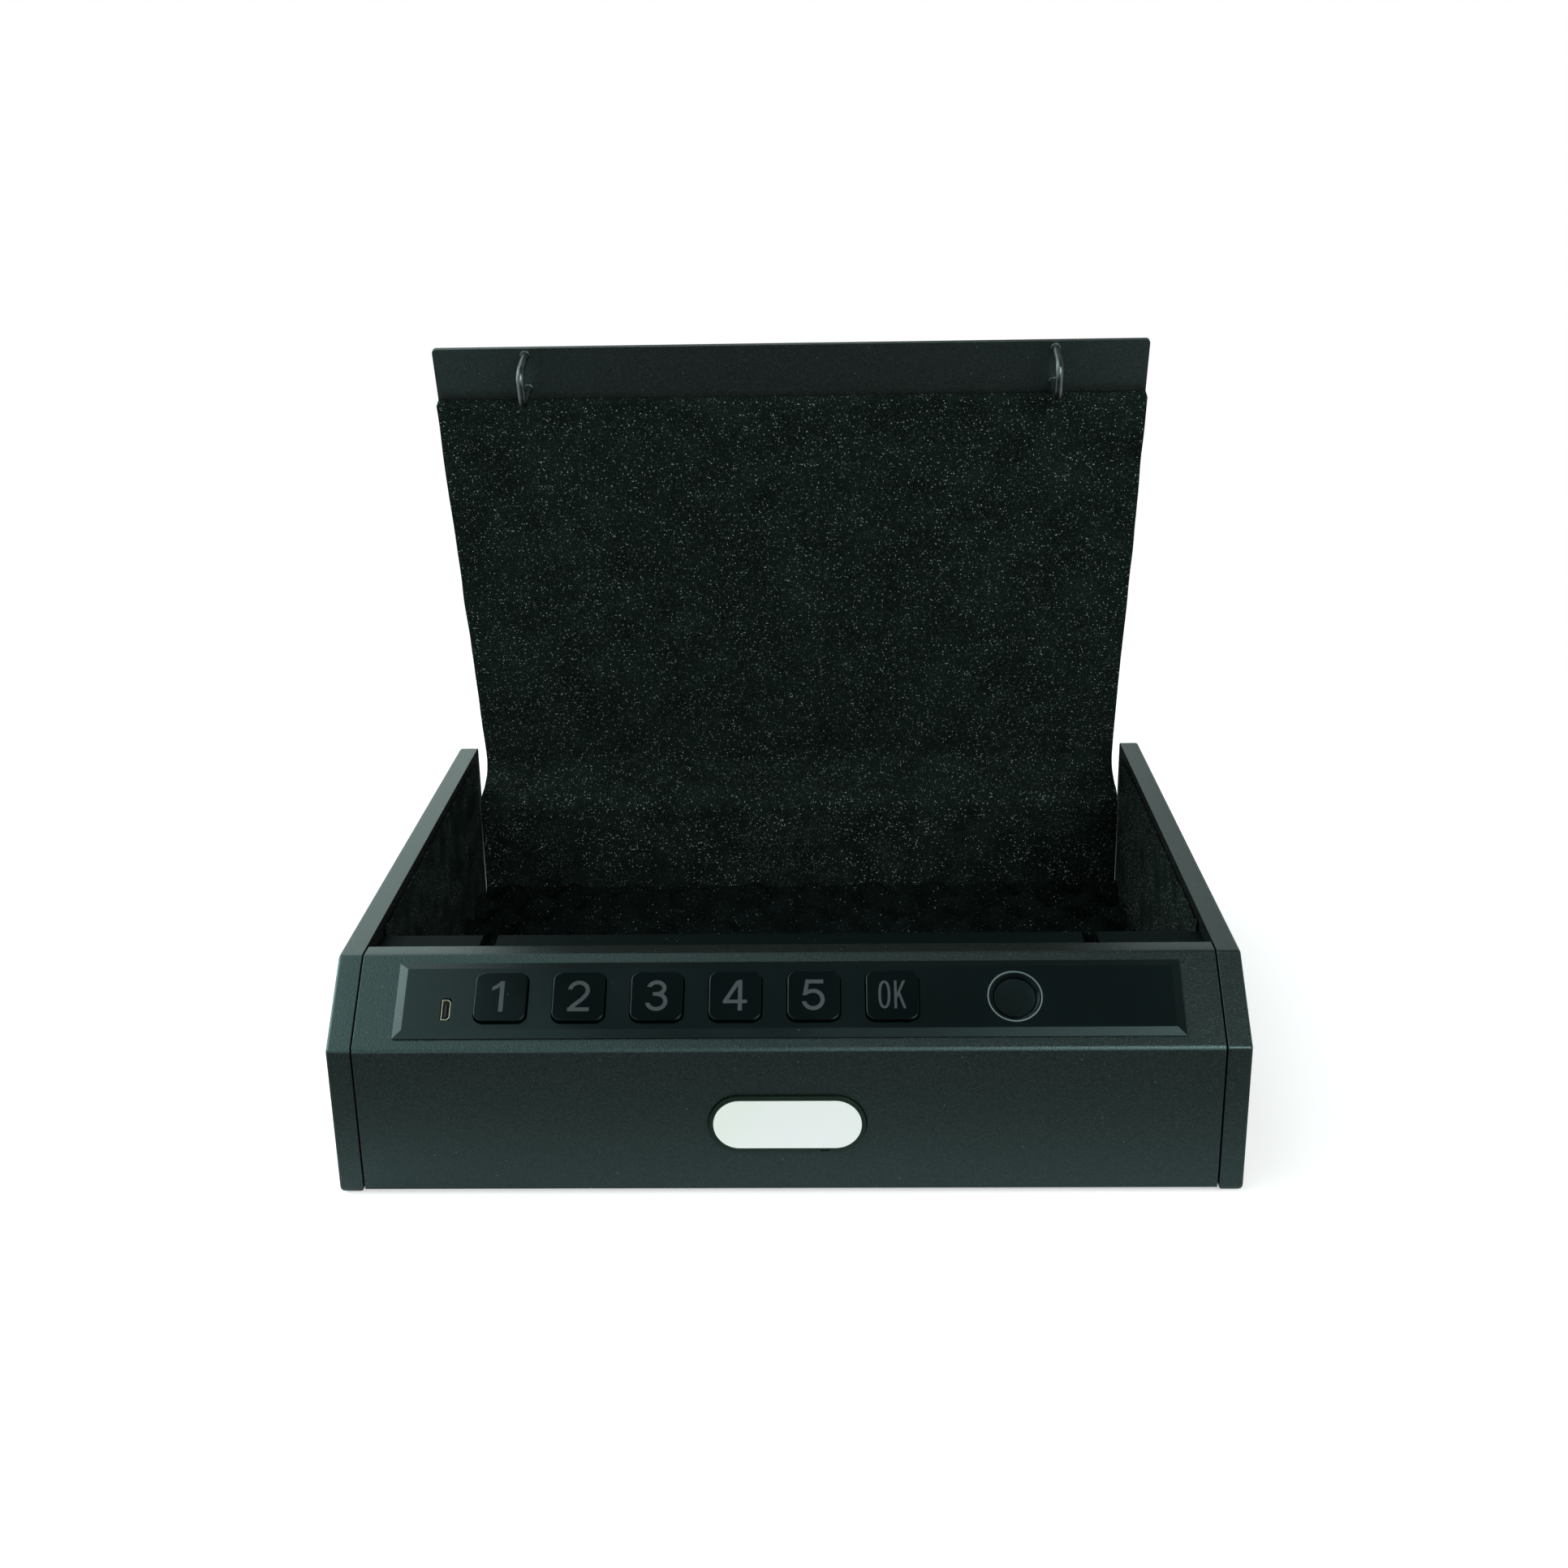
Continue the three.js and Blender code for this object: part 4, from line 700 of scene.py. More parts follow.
@dataclass(frozen=True)
class BareMetal(Finish):
    """Rolled, drawn or plated metal with fine streaks."""

    metallic: float = 1.0
    streaks: tuple[float, float, float] = (60.0, 1800.0, 1800.0)

    def make(self) -> Material:
        """Builds the material."""
        material, wire, shader, place = self.begin()
        stretch = wire.add("ShaderNodeMapping")
        stretch.inputs["Scale"].default_value = self.streaks
        wire.link(place, stretch.inputs["Vector"])
        lines = wire.add("ShaderNodeTexNoise", Scale=1.0, Detail=3.0, Roughness=0.6)
        wire.link(stretch.outputs["Vector"], lines.inputs["Vector"])
        dust = wire.group(Effects.dust(), place, Scale=380.0, Share=0.03)
        darker = tuple(v * 0.72 for v in self.colour)
        base = wire.blend(wire.ramp(lines.outputs["Fac"], 0.35, 0.65, 0, 1), darker, self.colour)
        base = wire.blend(wire.ramp(dust.outputs["Haze"], 0.5, 0.75, 0, 0.4), base, darker)
        wire.link(base, shader.inputs["Base Color"])
        rough = wire.ramp(lines.outputs["Fac"], 0.3, 0.7, self.roughness - 0.06, self.roughness + 0.1)
        wire.link(rough, shader.inputs["Roughness"])
        wire.link(wire.bump(lines.outputs["Fac"], 0.000015), shader.inputs["Normal"])
        return material


@dataclass(frozen=True)
class CircuitBoard(Finish):
    """Green lacquered board with copper tracks under the lacquer."""

    track: Colour = (0.06, 0.16, 0.05)

    def make(self) -> Material:
        """Builds the material."""
        material, wire, shader, place = self.begin()
        tracks = wire.add("ShaderNodeTexBrick", Scale=160.0, Mortar_Size=0.12)
        tracks.inputs["Color1"].default_value = tracks.inputs["Color2"].default_value = (0, 0, 0, 1)
        tracks.inputs["Mortar"].default_value = (1, 1, 1, 1)
        wire.link(place, tracks.inputs["Vector"])
        dust = wire.group(Effects.dust(), place, Scale=260.0, Share=0.05)
        base = wire.blend(tracks.outputs["Fac"], self.colour, self.track)
        wire.link(wire.blend(dust.outputs["Specks"], base, (0.5, 0.5, 0.48)), shader.inputs["Base Color"])
        rough = wire.ramp(dust.outputs["Haze"], 0.3, 0.7, self.roughness, self.roughness + 0.12)
        wire.link(rough, shader.inputs["Roughness"])
        wire.link(wire.bump(tracks.outputs["Fac"], 0.00003), shader.inputs["Normal"])
        return material


@dataclass(frozen=True)
class CellSleeve(Finish):
    """Shrunk sleeve of a battery cell: dark body, a paler band at one end."""

    band: Colour = (0.35, 0.22, 0.07)
    band_from: float = FRONT_Y + 0.044

    def make(self) -> Material:
        """Builds the material."""
        material, wire, shader, place = self.begin()
        parts = wire.add("ShaderNodeSeparateXYZ")
        wire.link(place, parts.inputs["Vector"])
        end = wire.ramp(parts.outputs["Y"], self.band_from, self.band_from + 0.0002, 0, 1)
        dust = wire.group(Effects.dust(), place, Scale=300.0, Share=0.03)
        base = wire.blend(end, self.colour, self.band)
        base = wire.blend(wire.ramp(dust.outputs["Haze"], 0.4, 0.8, 0, 0.2), base, (0.2, 0.2, 0.2))
        wire.link(base, shader.inputs["Base Color"])
        rough = wire.ramp(dust.outputs["Haze"], 0.3, 0.7, self.roughness, self.roughness + 0.1)
        wire.link(rough, shader.inputs["Roughness"])
        peel = wire.group(Effects.peel(), place, Scale=700.0, Grit=0.1)
        wire.link(wire.bump(peel.outputs["Height"], 0.00002), shader.inputs["Normal"])
        return material


@dataclass
class Finishes:
    """All finishes of the safe, made once."""

    made: dict[str, Material] = field(default_factory=dict)

    def __post_init__(self) -> None:
        """Builds each material."""
        cool = (0.6, 1.0, 1.0)
        for finish in (
            PowderCoat(
                "powder_coat_body", shade(17, 20, 18), 0.25, 0.82, tint=cool, grit=shade(62, 66, 64),
                peel_scale=1750.0, peel_depth=0.00009,
            ),
            # A darker copy of the body coat: its colour and grit are painted down with the shade that falls
            # inside the case.
            PowderCoat(
                "powder_coat_shaded", shade(5, 11, 12), 0.62, 0.07, tint=cool, grit=shade(14, 20, 20),
                peel_depth=0.00004,
            ),
            Moulded("panel_gloss", shade(4, 9, 10), 0.17, 0.46, tint=(0.7, 1.0, 1.0)),
            Moulded("keycap_gloss", shade(4, 8, 9), 0.09, 0.27, tint=(0.7, 1.0, 1.0), depth=0.000004),
            Moulded("legend_print", shade(57, 62, 63), 0.42, 0.2, tint=(0.85, 1.0, 1.0), specks=0.1),
            Moulded("ring_print", shade(100, 113, 114), 0.35, 0.4, specks=0.1),
            Moulded("sensor_glass", shade(9, 12, 13), 0.2, 0.5, tint=cool, depth=0.000003),
            Moulded("badge_rim_plastic", shade(20, 28, 19), 0.3, 0.5, tint=cool),
            Moulded("badge_insert_white", shade(251, 255, 248), 0.32, 0.5, depth=0.000008, specks=0.04),
            Moulded("works_plastic", shade(24, 26, 27), 0.5, 0.4, grain=1500.0, depth=0.00003),
            OpenFoam(
                "foam_lining", shade(25, 35, 32), 0.95, 0.06, tint=cool,
                glint=(0.85, 1.0, 0.95), share=0.14, cells=1950.0,
            ),
            # A darker copy of the lining foam for the floor pad: its colour and its painted glints are
            # lowered as painted shade for the bottom of the case.
            OpenFoam(
                "foam_crate", shade(17, 23, 22), 0.95, 0.04, tint=cool,
                share=0.06, glint=(0.3, 0.4, 0.36),
            ),
            BareMetal("steel_zinc", shade(150, 153, 156), 0.34),
            BareMetal("steel_wire", shade(104, 112, 112), 0.3, streaks=(400.0, 400.0, 60.0)),
            BareMetal("brass_turned", shade(196, 166, 104), 0.28, streaks=(1500.0, 90.0, 1500.0)),
            BareMetal("socket_gilt", shade(232, 226, 200), 0.45),
            CircuitBoard("board_lacquer", shade(24, 78, 46), 0.3),
            CellSleeve("cell_sleeve_print", shade(34, 38, 42), 0.3),
        ):
            self.made[finish.name] = finish.make()
            LOG.info("finish %s", finish.name)

    def __getitem__(self, name: str) -> Material:
        """Gives a finish by its name."""
        return self.made[name]


# Sub-assemblies


@dataclass
class Case:
    """Bent steel case: front shell, end plates, pan and lock housing."""

    finishes: Finishes
    edge: float = 0.18 * MM
    plate_edge: float = 0.15 * MM
    foot: float = 2.4 * MM
    foot_steps: int = 6
    seam: float = 0.3 * MM
    shell_end: float = 148 * MM
    recess_gap: float = 0.28 * MM
    recess_depth: float = 0.9 * MM

    def end_plate(self, node: str) -> Piece:
        """Rounds an end plate, its long foot edges more than the others.

        Args:
            node: The CAD plate.

        Returns:
            The plate in its place.
        """
        low, high = (v.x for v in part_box(node))
        piece = refined(node, f"{node}_coated", 0)
        with editing(piece):
            bpy.ops.mesh.customdata_custom_splitnormals_clear()
            for step in range(1, self.foot_steps + 1):
                height = self.foot * (1 - math.cos(step * math.pi / (2 * self.foot_steps)))
                bpy.ops.mesh.select_all(action="SELECT")
                bpy.ops.mesh.bisect(plane_co=(0, 0, height), plane_no=(0, 0, 1))
        for vertex in piece.data.vertices:
            if vertex.co.z < self.foot:
                inset = self.foot - math.sqrt(self.foot**2 - (self.foot - vertex.co.z) ** 2)
                vertex.co.x = min(max(vertex.co.x, low + inset), high - inset)
        return soften(piece, self.plate_edge)

    def build(self) -> None:
        """Rounds and coats every sheet of the case."""
        coat, inside = self.finishes["powder_coat_body"], self.finishes["powder_coat_shaded"]
        shell = refined("front_shell", "front_shell_coated", 0)
        with editing(shell):
            bpy.ops.mesh.customdata_custom_splitnormals_clear()
        for vertex in shell.data.vertices:
            if abs(vertex.co.x) > self.shell_end:
                vertex.co.x -= math.copysign(self.seam, vertex.co.x)
        recess = Badge(self.finishes).pill("cutter", -self.recess_gap, -self.recess_depth, OVERRUN / 2)
        soften(drilled(shell, settle(recess, ON_FRONT)), self.edge)
        for piece in (shell, self.end_plate("left_end_plate"), self.end_plate("right_end_plate")):
            fitted(piece, Body.CASE.value, coat)
        # The lock housing takes the darker copy of the coat, painted with shade.
        for node, finish in (("base_pan", coat), ("lock_housing", inside)):
            fitted(refined(node, f"{node}_coated", self.edge), Body.CASE.value, finish)


@dataclass
class Lid:
    """Coated lid shell with its two wire strikers, drawn shut and turned open."""

    finishes: Finishes
    spread: float = 109 * MM
    wire: float = 1.65 * MM
    bend: float = 4.6 * MM
    front: float = FRONT_Y + 40.4 * MM
    rear: float = FRONT_Y + 55.2 * MM
    low: float = 58.3 * MM
    under: float = 77 * MM
    lap: float = 0.2 * MM
    edge: float = 0.35 * MM
    weld: float = 0.35 * MM
    weld_gap: float = 0.1 * MM
    weld_sink: float = 0.25 * MM
    round_share: float = 0.5523

    def striker(self, side: int, name: str) -> Piece:
        """Bends one wire loop and welds its feet.

        Args:
            side: -1 for the left one, 1 for the right one.
            name: Name of the piece.

        Returns:
            The striker, in its place on the open lid.
        """
        x, top, reach = side * self.spread, self.under - self.lap, self.bend * self.round_share
        front, rear, low, rise = self.front, self.rear, self.low, self.low + self.bend
        ahead, back, long, short = front + self.bend, rear - self.bend, 2 * MM, 1 * MM
        spots = [
            ((front, top), (front, top), (front, top - long)),
            ((front, rise), (front, rise + long), (front, rise - reach)),
            ((ahead, low), (ahead - reach, low), (ahead + short, low)),
            ((back, low), (back - short, low), (back + reach, low)),
            ((rear, rise), (rear, rise - reach), (rear, rise + long)),
            ((rear, top), (rear, top - long), (rear, top)),
        ]
        bpy.ops.curve.primitive_bezier_curve_add(location=(0, 0, 0))
        piece = bpy.context.object
        piece.name = name
        spline = piece.data.splines[0]
        spline.bezier_points.add(len(spots) - len(spline.bezier_points))
        for point, (at, before, after) in zip(spline.bezier_points, spots):
            point.handle_left_type = point.handle_right_type = "FREE"
            point.co, point.handle_left, point.handle_right = ((x, *pair) for pair in (at, before, after))
        piece.data.dimensions = "3D"
        piece.data.bevel_depth, piece.data.bevel_resolution, piece.data.resolution_u = self.wire, 5, 10
        piece.data.use_fill_caps = True
        only(piece)
        bpy.ops.object.convert(target="MESH")
        beads = []
        for y in (front, rear):
            bpy.ops.mesh.primitive_torus_add(
                location=(x, y, self.under - self.weld_sink), major_radius=self.wire + self.weld_gap,
                minor_radius=self.weld, major_segments=28, minor_segments=10,
            )
            beads.append(bpy.context.object)
        return settle(soften(joined(piece, *beads), 0, 60), ON_LID)

    def build(self) -> None:
        """Makes the lid's rigid pieces."""
        shell = refined("lid_shell", "lid_shell_coated", self.edge)
        fitted(shell, Body.LID.value, self.finishes["powder_coat_body"])
        for side, node in ((-1, "striker_left"), (1, "striker_right")):
            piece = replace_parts(self.striker(side, f"{node}_wire"), node)
            fitted(piece, Body.LID.value, self.finishes["steel_wire"])


@dataclass
class Lining:
    """Foam that lines the lid, the back wall, the sides and the floor."""

    finishes: Finishes
    cell: float = 2.6 * MM
    half: float = 147.4 * MM
    thick: float = 5.6 * MM
    inner: float = FRONT_Y + 247.3 * MM
    wall_low: float = 4 * MM
    wall_high: float = 45.5 * MM
    wrap: float = 8.2
    wrap_growth: float = 0.6
    lid_top: float = 70.9 * MM
    lid_back: float = FRONT_Y + 246.9 * MM
    lid_front: float = FRONT_Y + 59.8 * MM
    lid_low: float = 55.4 * MM
    lid_turn: float = 58.5 * MM
    lid_bend: float = 7 * MM
    waves: tuple[tuple[float, float], ...] = ((0.3, 60), (0.14, 170), (0.5, 14))
    bumps: tuple[int, int] = (42, 27)
    fine: int = 5
    dip: float = 9 * MM
    pore: float = 0.25 * MM
    top_gap: float = 0.3 * MM
    foot_gap: float = 0.1 * MM
    side_back: float = FRONT_Y + 246.6 * MM
    side_thick: float = 0.8 * MM

    def lining_path(self) -> list[tuple[float, float]]:
        """Gives the seen face's line in Y and Z: up the back wall, over the hinge and up the open lid."""
        path = [(self.inner, self.wall_low), (self.inner, self.wall_high)]
        first, last, steps = 200, 90, 11
        for i in range(steps + 1):
            angle = math.radians(first - (first - last) * i / steps)
            radius = (self.wrap + self.wrap_growth * i / steps) * MM
            path.append((HINGE.y + radius * math.cos(angle), HINGE.z + radius * math.sin(angle)))
        high, back, bend = self.lid_top, self.lid_back, self.lid_bend
        shut = [(back, self.lid_low), (back, self.lid_turn)]
        for i in range(10):
            angle = math.radians(10 * i)
            shut.append((back - bend + bend * math.cos(angle), high - bend + bend * math.sin(angle)))
        shut.append((self.lid_front, high))
        return path + [tuple((ON_LID @ Vector((0, y, z))).yz) for y, z in shut]

    def lining(self) -> Piece:
        """Lays the one foam sheet that lines the back wall and the lid.

        Returns:
            The sheet, closed all round.
        """
        points = [Vector((0, y, z)) for y, z in self.lining_path()]
        runs = [0.0]
        for a, b in zip(points, points[1:]):
            runs.append(runs[-1] + (b - a).length)
        rows, columns = round(runs[-1] / self.cell), round(2 * self.half / self.cell)
        bpy.ops.mesh.primitive_grid_add(x_subdivisions=columns, y_subdivisions=rows, size=1)
        piece = bpy.context.object
        piece.name = piece.data.name = "foam_lining_sheet"
        for vertex in piece.data.vertices:
            u, v = vertex.co.x * 2, (vertex.co.y + 0.5) * runs[-1]
            i = min(max(k for k, run in enumerate(runs) if run <= v + TINY), len(points) - 2)
            at = points[i].lerp(points[i + 1], (v - runs[i]) / (runs[i + 1] - runs[i]))
            along = (points[i + 1] - points[i]).normalized()
            seen = Vector((0, -along.z, along.y))
            spot = Vector((u * self.half, at.y, at.z))
            lift = sum(height * noise.noise(spot * rate) for height, rate in self.waves)
            x = spot.x
            if abs(u) > 0.999:
                fray = 0.5 * noise.noise(Vector((v * 45, v * 13, 5 * math.copysign(1, u)))) - 0.2
                x += math.copysign(fray, u) * MM
            vertex.co = (x, *(spot + seen * lift * MM).yz)
        modify(piece, "SOLIDIFY", thickness=self.thick, offset=-1)
        return soften(piece, 0.5 * MM, 50, 2)

    def crate(self) -> Piece:
        """Egg-crate floor pad: staggered round bumps on a flat base."""
        low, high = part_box("floor_foam")
        (columns, rows), fine = self.bumps, self.fine
        bpy.ops.mesh.primitive_grid_add(x_subdivisions=columns * fine, y_subdivisions=rows * fine, size=1)
        piece = bpy.context.object
        piece.name = piece.data.name = "floor_foam_crate"
        for vertex in piece.data.vertices:
            u, v = vertex.co.x + 0.5, vertex.co.y + 0.5
            wave = math.cos(u * columns / 4 * math.tau) * math.cos(v * rows / 4 * math.tau)
            spot = Vector((low.x + (high.x - low.x) * u, low.y + (high.y - low.y) * v, 0))
            uneven = 1 + 0.08 * noise.noise(spot * 70)
            rise = -self.dip * (1 - wave) / 2 * uneven + self.pore * noise.noise(spot * 320)
            vertex.co = (spot.x, spot.y, high.z - self.top_gap + rise)
        with editing(piece):
            pick(piece, "FACE", lambda *_: True)
            bpy.ops.mesh.extrude_region_move(TRANSFORM_OT_translate={"value": (0, 0, 0)})
            bpy.ops.mesh.select_all(action="DESELECT")
        return self.closed_below(piece, low.z + self.foot_gap)

    def closed_below(self, piece: Piece, floor: float) -> Piece:
        """Gives an open height field its walls and a flat bottom.

        Args:
            piece: The height field, its extruded copy still lying on it.
            floor: Height of the bottom.

        Returns:
            The same piece, closed.
        """
        half = len(piece.data.vertices) // 2
        for vertex in piece.data.vertices[:half]:
            vertex.co.z = floor
        with editing(piece):
            bpy.ops.mesh.normals_make_consistent(inside=False)
        only(piece)
        bpy.ops.object.shade_smooth_by_angle(angle=math.radians(60))
        return piece

    def build(self) -> None:
        """Lays every foam piece."""
        # The floor pad takes the darker foam, painted with shade.
        foam, dark = self.finishes["foam_lining"], self.finishes["foam_crate"]
        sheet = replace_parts(self.lining(), "lid_foam", "back_foam")
        sheet.data.materials.append(foam)
        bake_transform(sheet)
        for piece, node, material in (
            (self.crate(), "floor_foam", dark),
            (self.side_sheet(-1, "side_foam_left_sheet"), "side_foam_left", foam),
            (self.side_sheet(1, "side_foam_right_sheet"), "side_foam_right", foam),
        ):
            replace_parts(piece, node)
            fitted(piece, Body.CASE.value, material)

    def side_sheet(self, side: int, name: str) -> Piece:
        """Thin foam sheet on the inner face of an end plate.

        Args:
            side: -1 for the left one, 1 for the right one.
            name: Name of the piece.

        Returns:
            The sheet in its place.
        """
        low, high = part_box(name.removesuffix("_sheet"))
        high = Vector((high.x, self.side_back, high.z))
        rows, columns = round((high.z - low.z) / self.cell), round((high.y - low.y) / self.cell)
        bpy.ops.mesh.primitive_grid_add(x_subdivisions=columns, y_subdivisions=rows, size=1)
        piece = bpy.context.object
        piece.name = piece.data.name = name
        seen = low.x if side > 0 else high.x
        for vertex in piece.data.vertices:
            u, v = vertex.co.x + 0.5, vertex.co.y + 0.5
            spot = Vector((seen, low.y + (high.y - low.y) * u, low.z + (high.z - low.z) * v))
            lift = 0.12 * MM * (noise.noise(spot * 90) + 0.4)
            vertex.co = (seen + side * lift, spot.y, spot.z)
        with editing(piece):
            pick(piece, "FACE", lambda _, normal: normal.x * side > 0)
            bpy.ops.mesh.flip_normals()
        modify(piece, "SOLIDIFY", thickness=self.side_thick, offset=-1)
        return soften(piece, 0.25 * MM, 50, 2)


def oval(
    x: float, y: float, wide: float, tall: float, start: float, stop: float, power: float = 1.0,
) -> list[tuple[float, float]]:
    """Gives points along an oval, in millimetres and degrees.

    Args:
        x: Its middle across.
        y: Its middle up.
        wide: Half of its width.
        tall: Half of its height.
        start: First angle.
        stop: Last angle.
        power: Below 1 its sides are straighter than an ellipse's.

    Returns:
        The points.
    """
    steps = max(4, round(abs(stop - start) / 9))
    points = []
    for i in range(steps + 1):
        angle = math.radians(start + (stop - start) * i / steps)
        c, d = math.cos(angle), math.sin(angle)
        across, rise = wide * math.copysign(abs(c) ** power, c), tall * math.copysign(abs(d) ** power, d)
        points.append((x + across, y + rise))
    return points


@dataclass(frozen=True)
class Stroke:
    """One stroke of a printed legend: its middle line and its width, in millimetres."""

    line: Outline
    width: float = 1.45

    def loops(self) -> list[list[tuple[float, float]]]:
        """Gives the outline of the stroke, its ends cut level or upright, in metres."""
        points = [Vector(p) for p in self.line]
        closed = (points[0] - points[-1]).length < 0.001
        if closed:
            points.pop()
        sides: tuple[list, list] = ([], [])
        for i, point in enumerate(points):
            before = points[i - 1] if closed or i else point
            after = points[(i + 1) % len(points)] if closed or i < len(points) - 1 else point
            run = (after - before).normalized()
            across = Vector((-run.y, run.x)) * self.width / 2
            if not closed and i in (0, len(points) - 1):
                if abs(run.y) > 0.6:
                    across = Vector((math.copysign(self.width / 2 / abs(run.y), across.x), 0))
                elif abs(run.x) > 0.6:
                    across = Vector((0, math.copysign(self.width / 2 / abs(run.x), across.y)))
            for side, sign in zip(sides, (1, -1)):
                side.append(((point.x + sign * across.x) * MM, (point.y + sign * across.y) * MM))
        return [sides[0], sides[1]] if closed else [sides[0] + sides[1][::-1]]


LEGENDS: dict[str, tuple[Stroke, ...]] = {
    "1": (
        Stroke(((0.4, 5.7), (0.4, -5.7)), 1.5),
        Stroke(((0.3, 5.3), (-0.4, 4.5), (-1.4, 3.7), (-3.0, 2.9)), 1.35),
    ),
    "2": (
        Stroke([
            *oval(0.05, 2.05, 3.05, 2.93, 172, -38), (1.2, -1.25), (-0.6, -2.75), (-2.1, -4.1), (-2.9, -5.3),
        ]),
        Stroke(((-3.55, -4.98), (3.85, -4.98))),
    ),
    "3": (
        Stroke(oval(-0.05, 2.78, 2.6, 2.2, 168, -90)), Stroke(oval(-0.05, -2.2, 3.1, 2.78, 90, -170)),
        Stroke(((-1.3, 0.58), (0.3, 0.58)), 1.35),
    ),
    "4": (
        Stroke(((1.7, 5.7), (1.7, -5.7))), Stroke(((1.2, 5.35), (-3.2, -1.9)), 1.4),
        Stroke(((-4.1, -2.35), (4.1, -2.35)), 1.3),
    ),
    "5": (
        Stroke(((-2.3, 4.98), (3.3, 4.98))), Stroke(((-2.1, 5.7), (-3.05, -0.15)), 1.35),
        Stroke([(-3.0, 0.1), (-2.2, 1.05), *oval(-0.15, -1.75, 3.2, 3.23, 112, -168)]),
    ),
    "OK": (
        Stroke(oval(-2.75, 0, 1.6, 4.75, 0, 360, 0.85), 0.9), Stroke(((1.05, 5.2), (1.05, -5.2)), 0.9),
        Stroke(((1.2, -1.3), (4.0, 5.2)), 0.85), Stroke(((2.15, 0.8), (4.2, -5.2)), 0.9),
    ),
}


@dataclass
class ControlPanel:
    """Raised glossy module on the slope: keys with legends, socket and fingerprint sensor."""

    finishes: Finishes
    length: float = 270.6 * MM
    shift: float = 0.35 * MM
    depth: float = 28.4 * MM
    middle: float = 18.45 * MM
    height: float = 2.2 * MM
    skirt_inset: float = 3.2 * MM
    skirt_drop: float = 6 * MM
    skirt_wall: float = 1 * MM
    hollow: float = 5.4 * MM
    edge: float = 0.14 * MM
    chamfer: float = 2.75 * MM
    end_chamfer: float = 3.3 * MM
    key_side: float = 17.9 * MM
    key_corner: float = 3 * MM
    key_top: float = 4.1 * MM
    key_foot: float = -0.6 * MM
    key_round: float = 0.4 * MM
    key_lip: float = 0.9 * MM
    key_lip_drop: float = 1 * MM
    print_gap: float = 0.01 * MM
    first_key: float = -98.2
    key_pitch: float = 26.9
    port: tuple[float, float] = (-117.05 * MM, 14.5 * MM)
    sensor_x: float = 78.2 * MM
    legends: tuple[tuple[str, str], ...] = (
        ("key_1", "1"), ("key_2", "2"), ("key_3", "3"), ("key_4", "4"), ("key_5", "5"), ("key_ok", "OK"),
    )

    def key_x(self, index: int) -> float:
        """Gives the place of a key along the module, from its first place and pitch in millimetres."""
        return (self.first_key + self.key_pitch * index) * MM

    def bezel(self) -> Piece:
        """Shapes the module's cover: mitred chamfers, a skirt and its openings."""
        low, lip, gap = 0.45 * MM, 0.25 * MM, 0.42 * MM
        centre = (self.shift, self.middle, low + lip / 2)
        piece = block("keypad_bezel_moulded", (self.length, self.depth, lip), centre)
        narrow = (self.length - 2 * self.end_chamfer) / self.length
        shallow = (self.depth - 2 * self.chamfer) / self.depth
        with editing(piece):
            pick(piece, "FACE", lambda _, normal: normal.z > 0.9)
            rise = self.height - low - lip
            bpy.ops.mesh.extrude_region_move(TRANSFORM_OT_translate={"value": (0, 0, rise)})
            top = (self.shift, self.middle, self.height)
            bpy.ops.transform.resize(value=(narrow, shallow, 1), center_override=top)
            pick(piece, "FACE", lambda _, normal: normal.z < -0.9)
            bpy.ops.mesh.inset(thickness=self.skirt_inset)
            bpy.ops.mesh.extrude_region_move(TRANSFORM_OT_translate={"value": (0, 0, -self.skirt_drop)})
            bpy.ops.mesh.inset(thickness=self.skirt_wall)
            bpy.ops.mesh.extrude_region_move(TRANSFORM_OT_translate={"value": (0, 0, self.hollow)})
        hole, through = self.key_side + 2 * gap, 2 * OVERRUN
        cutters = [
            block("cutter", (hole, hole, through), (self.key_x(i), self.middle, 0), self.key_corner + gap)
            for i in range(len(self.legends))
        ]
        bore, rim, foot = 7.5 * MM, 8.4 * MM, 0.9 * MM
        dish = turned("cutter", [
            (0, -OVERRUN), (bore, -OVERRUN), (bore, foot), (rim, self.height), (rim, OVERRUN), (0, OVERRUN),
        ])
        near, far = 8.75 * MM, 9.6 * MM
        groove = turned("cutter", [(near, foot), (far, foot), (far, OVERRUN), (near, OVERRUN), (near, foot)])
        for cutter in (dish, groove):
            settle(cutter, Matrix.Translation((self.sensor_x, self.middle, 0)))
        socket = block("cutter", (3.7 * MM, 8.3 * MM, through), (*self.port, 0), 0.9 * MM, 4)
        drilled(piece, *cutters, dish, groove, socket)
        soften(piece, self.edge, 20, 2)
        return settle(piece, ON_PANEL)

    def key(self, index: int, node: str) -> Piece:
        """Moulds one key cap with soft edges and a hidden lip.

        Args:
            index: Its place in the row.
            node: The CAD key that it stands for.

        Returns:
            The key in its place.
        """
        x, foot = self.key_x(index), self.key_foot
        size = (self.key_side, self.key_side, self.key_top - foot)
        piece = block(f"{node}_cap", size, (x, self.middle, (self.key_top + foot) / 2), self.key_corner)
        with editing(piece):
            pick(piece, "EDGE", lambda at, run: at.z > self.key_top - TINY and abs(run.z) < TINY)
            bpy.ops.mesh.bevel(offset=self.key_round, segments=4, affect="EDGES")
            pick(piece, "FACE", lambda _, normal: normal.z < -0.9)
            bpy.ops.mesh.inset(thickness=self.key_lip, use_outset=True)
            bpy.ops.mesh.extrude_region_move(TRANSFORM_OT_translate={"value": (0, 0, -self.key_lip_drop)})
        soften(piece, 0, 45)
        return settle(piece, ON_PANEL)

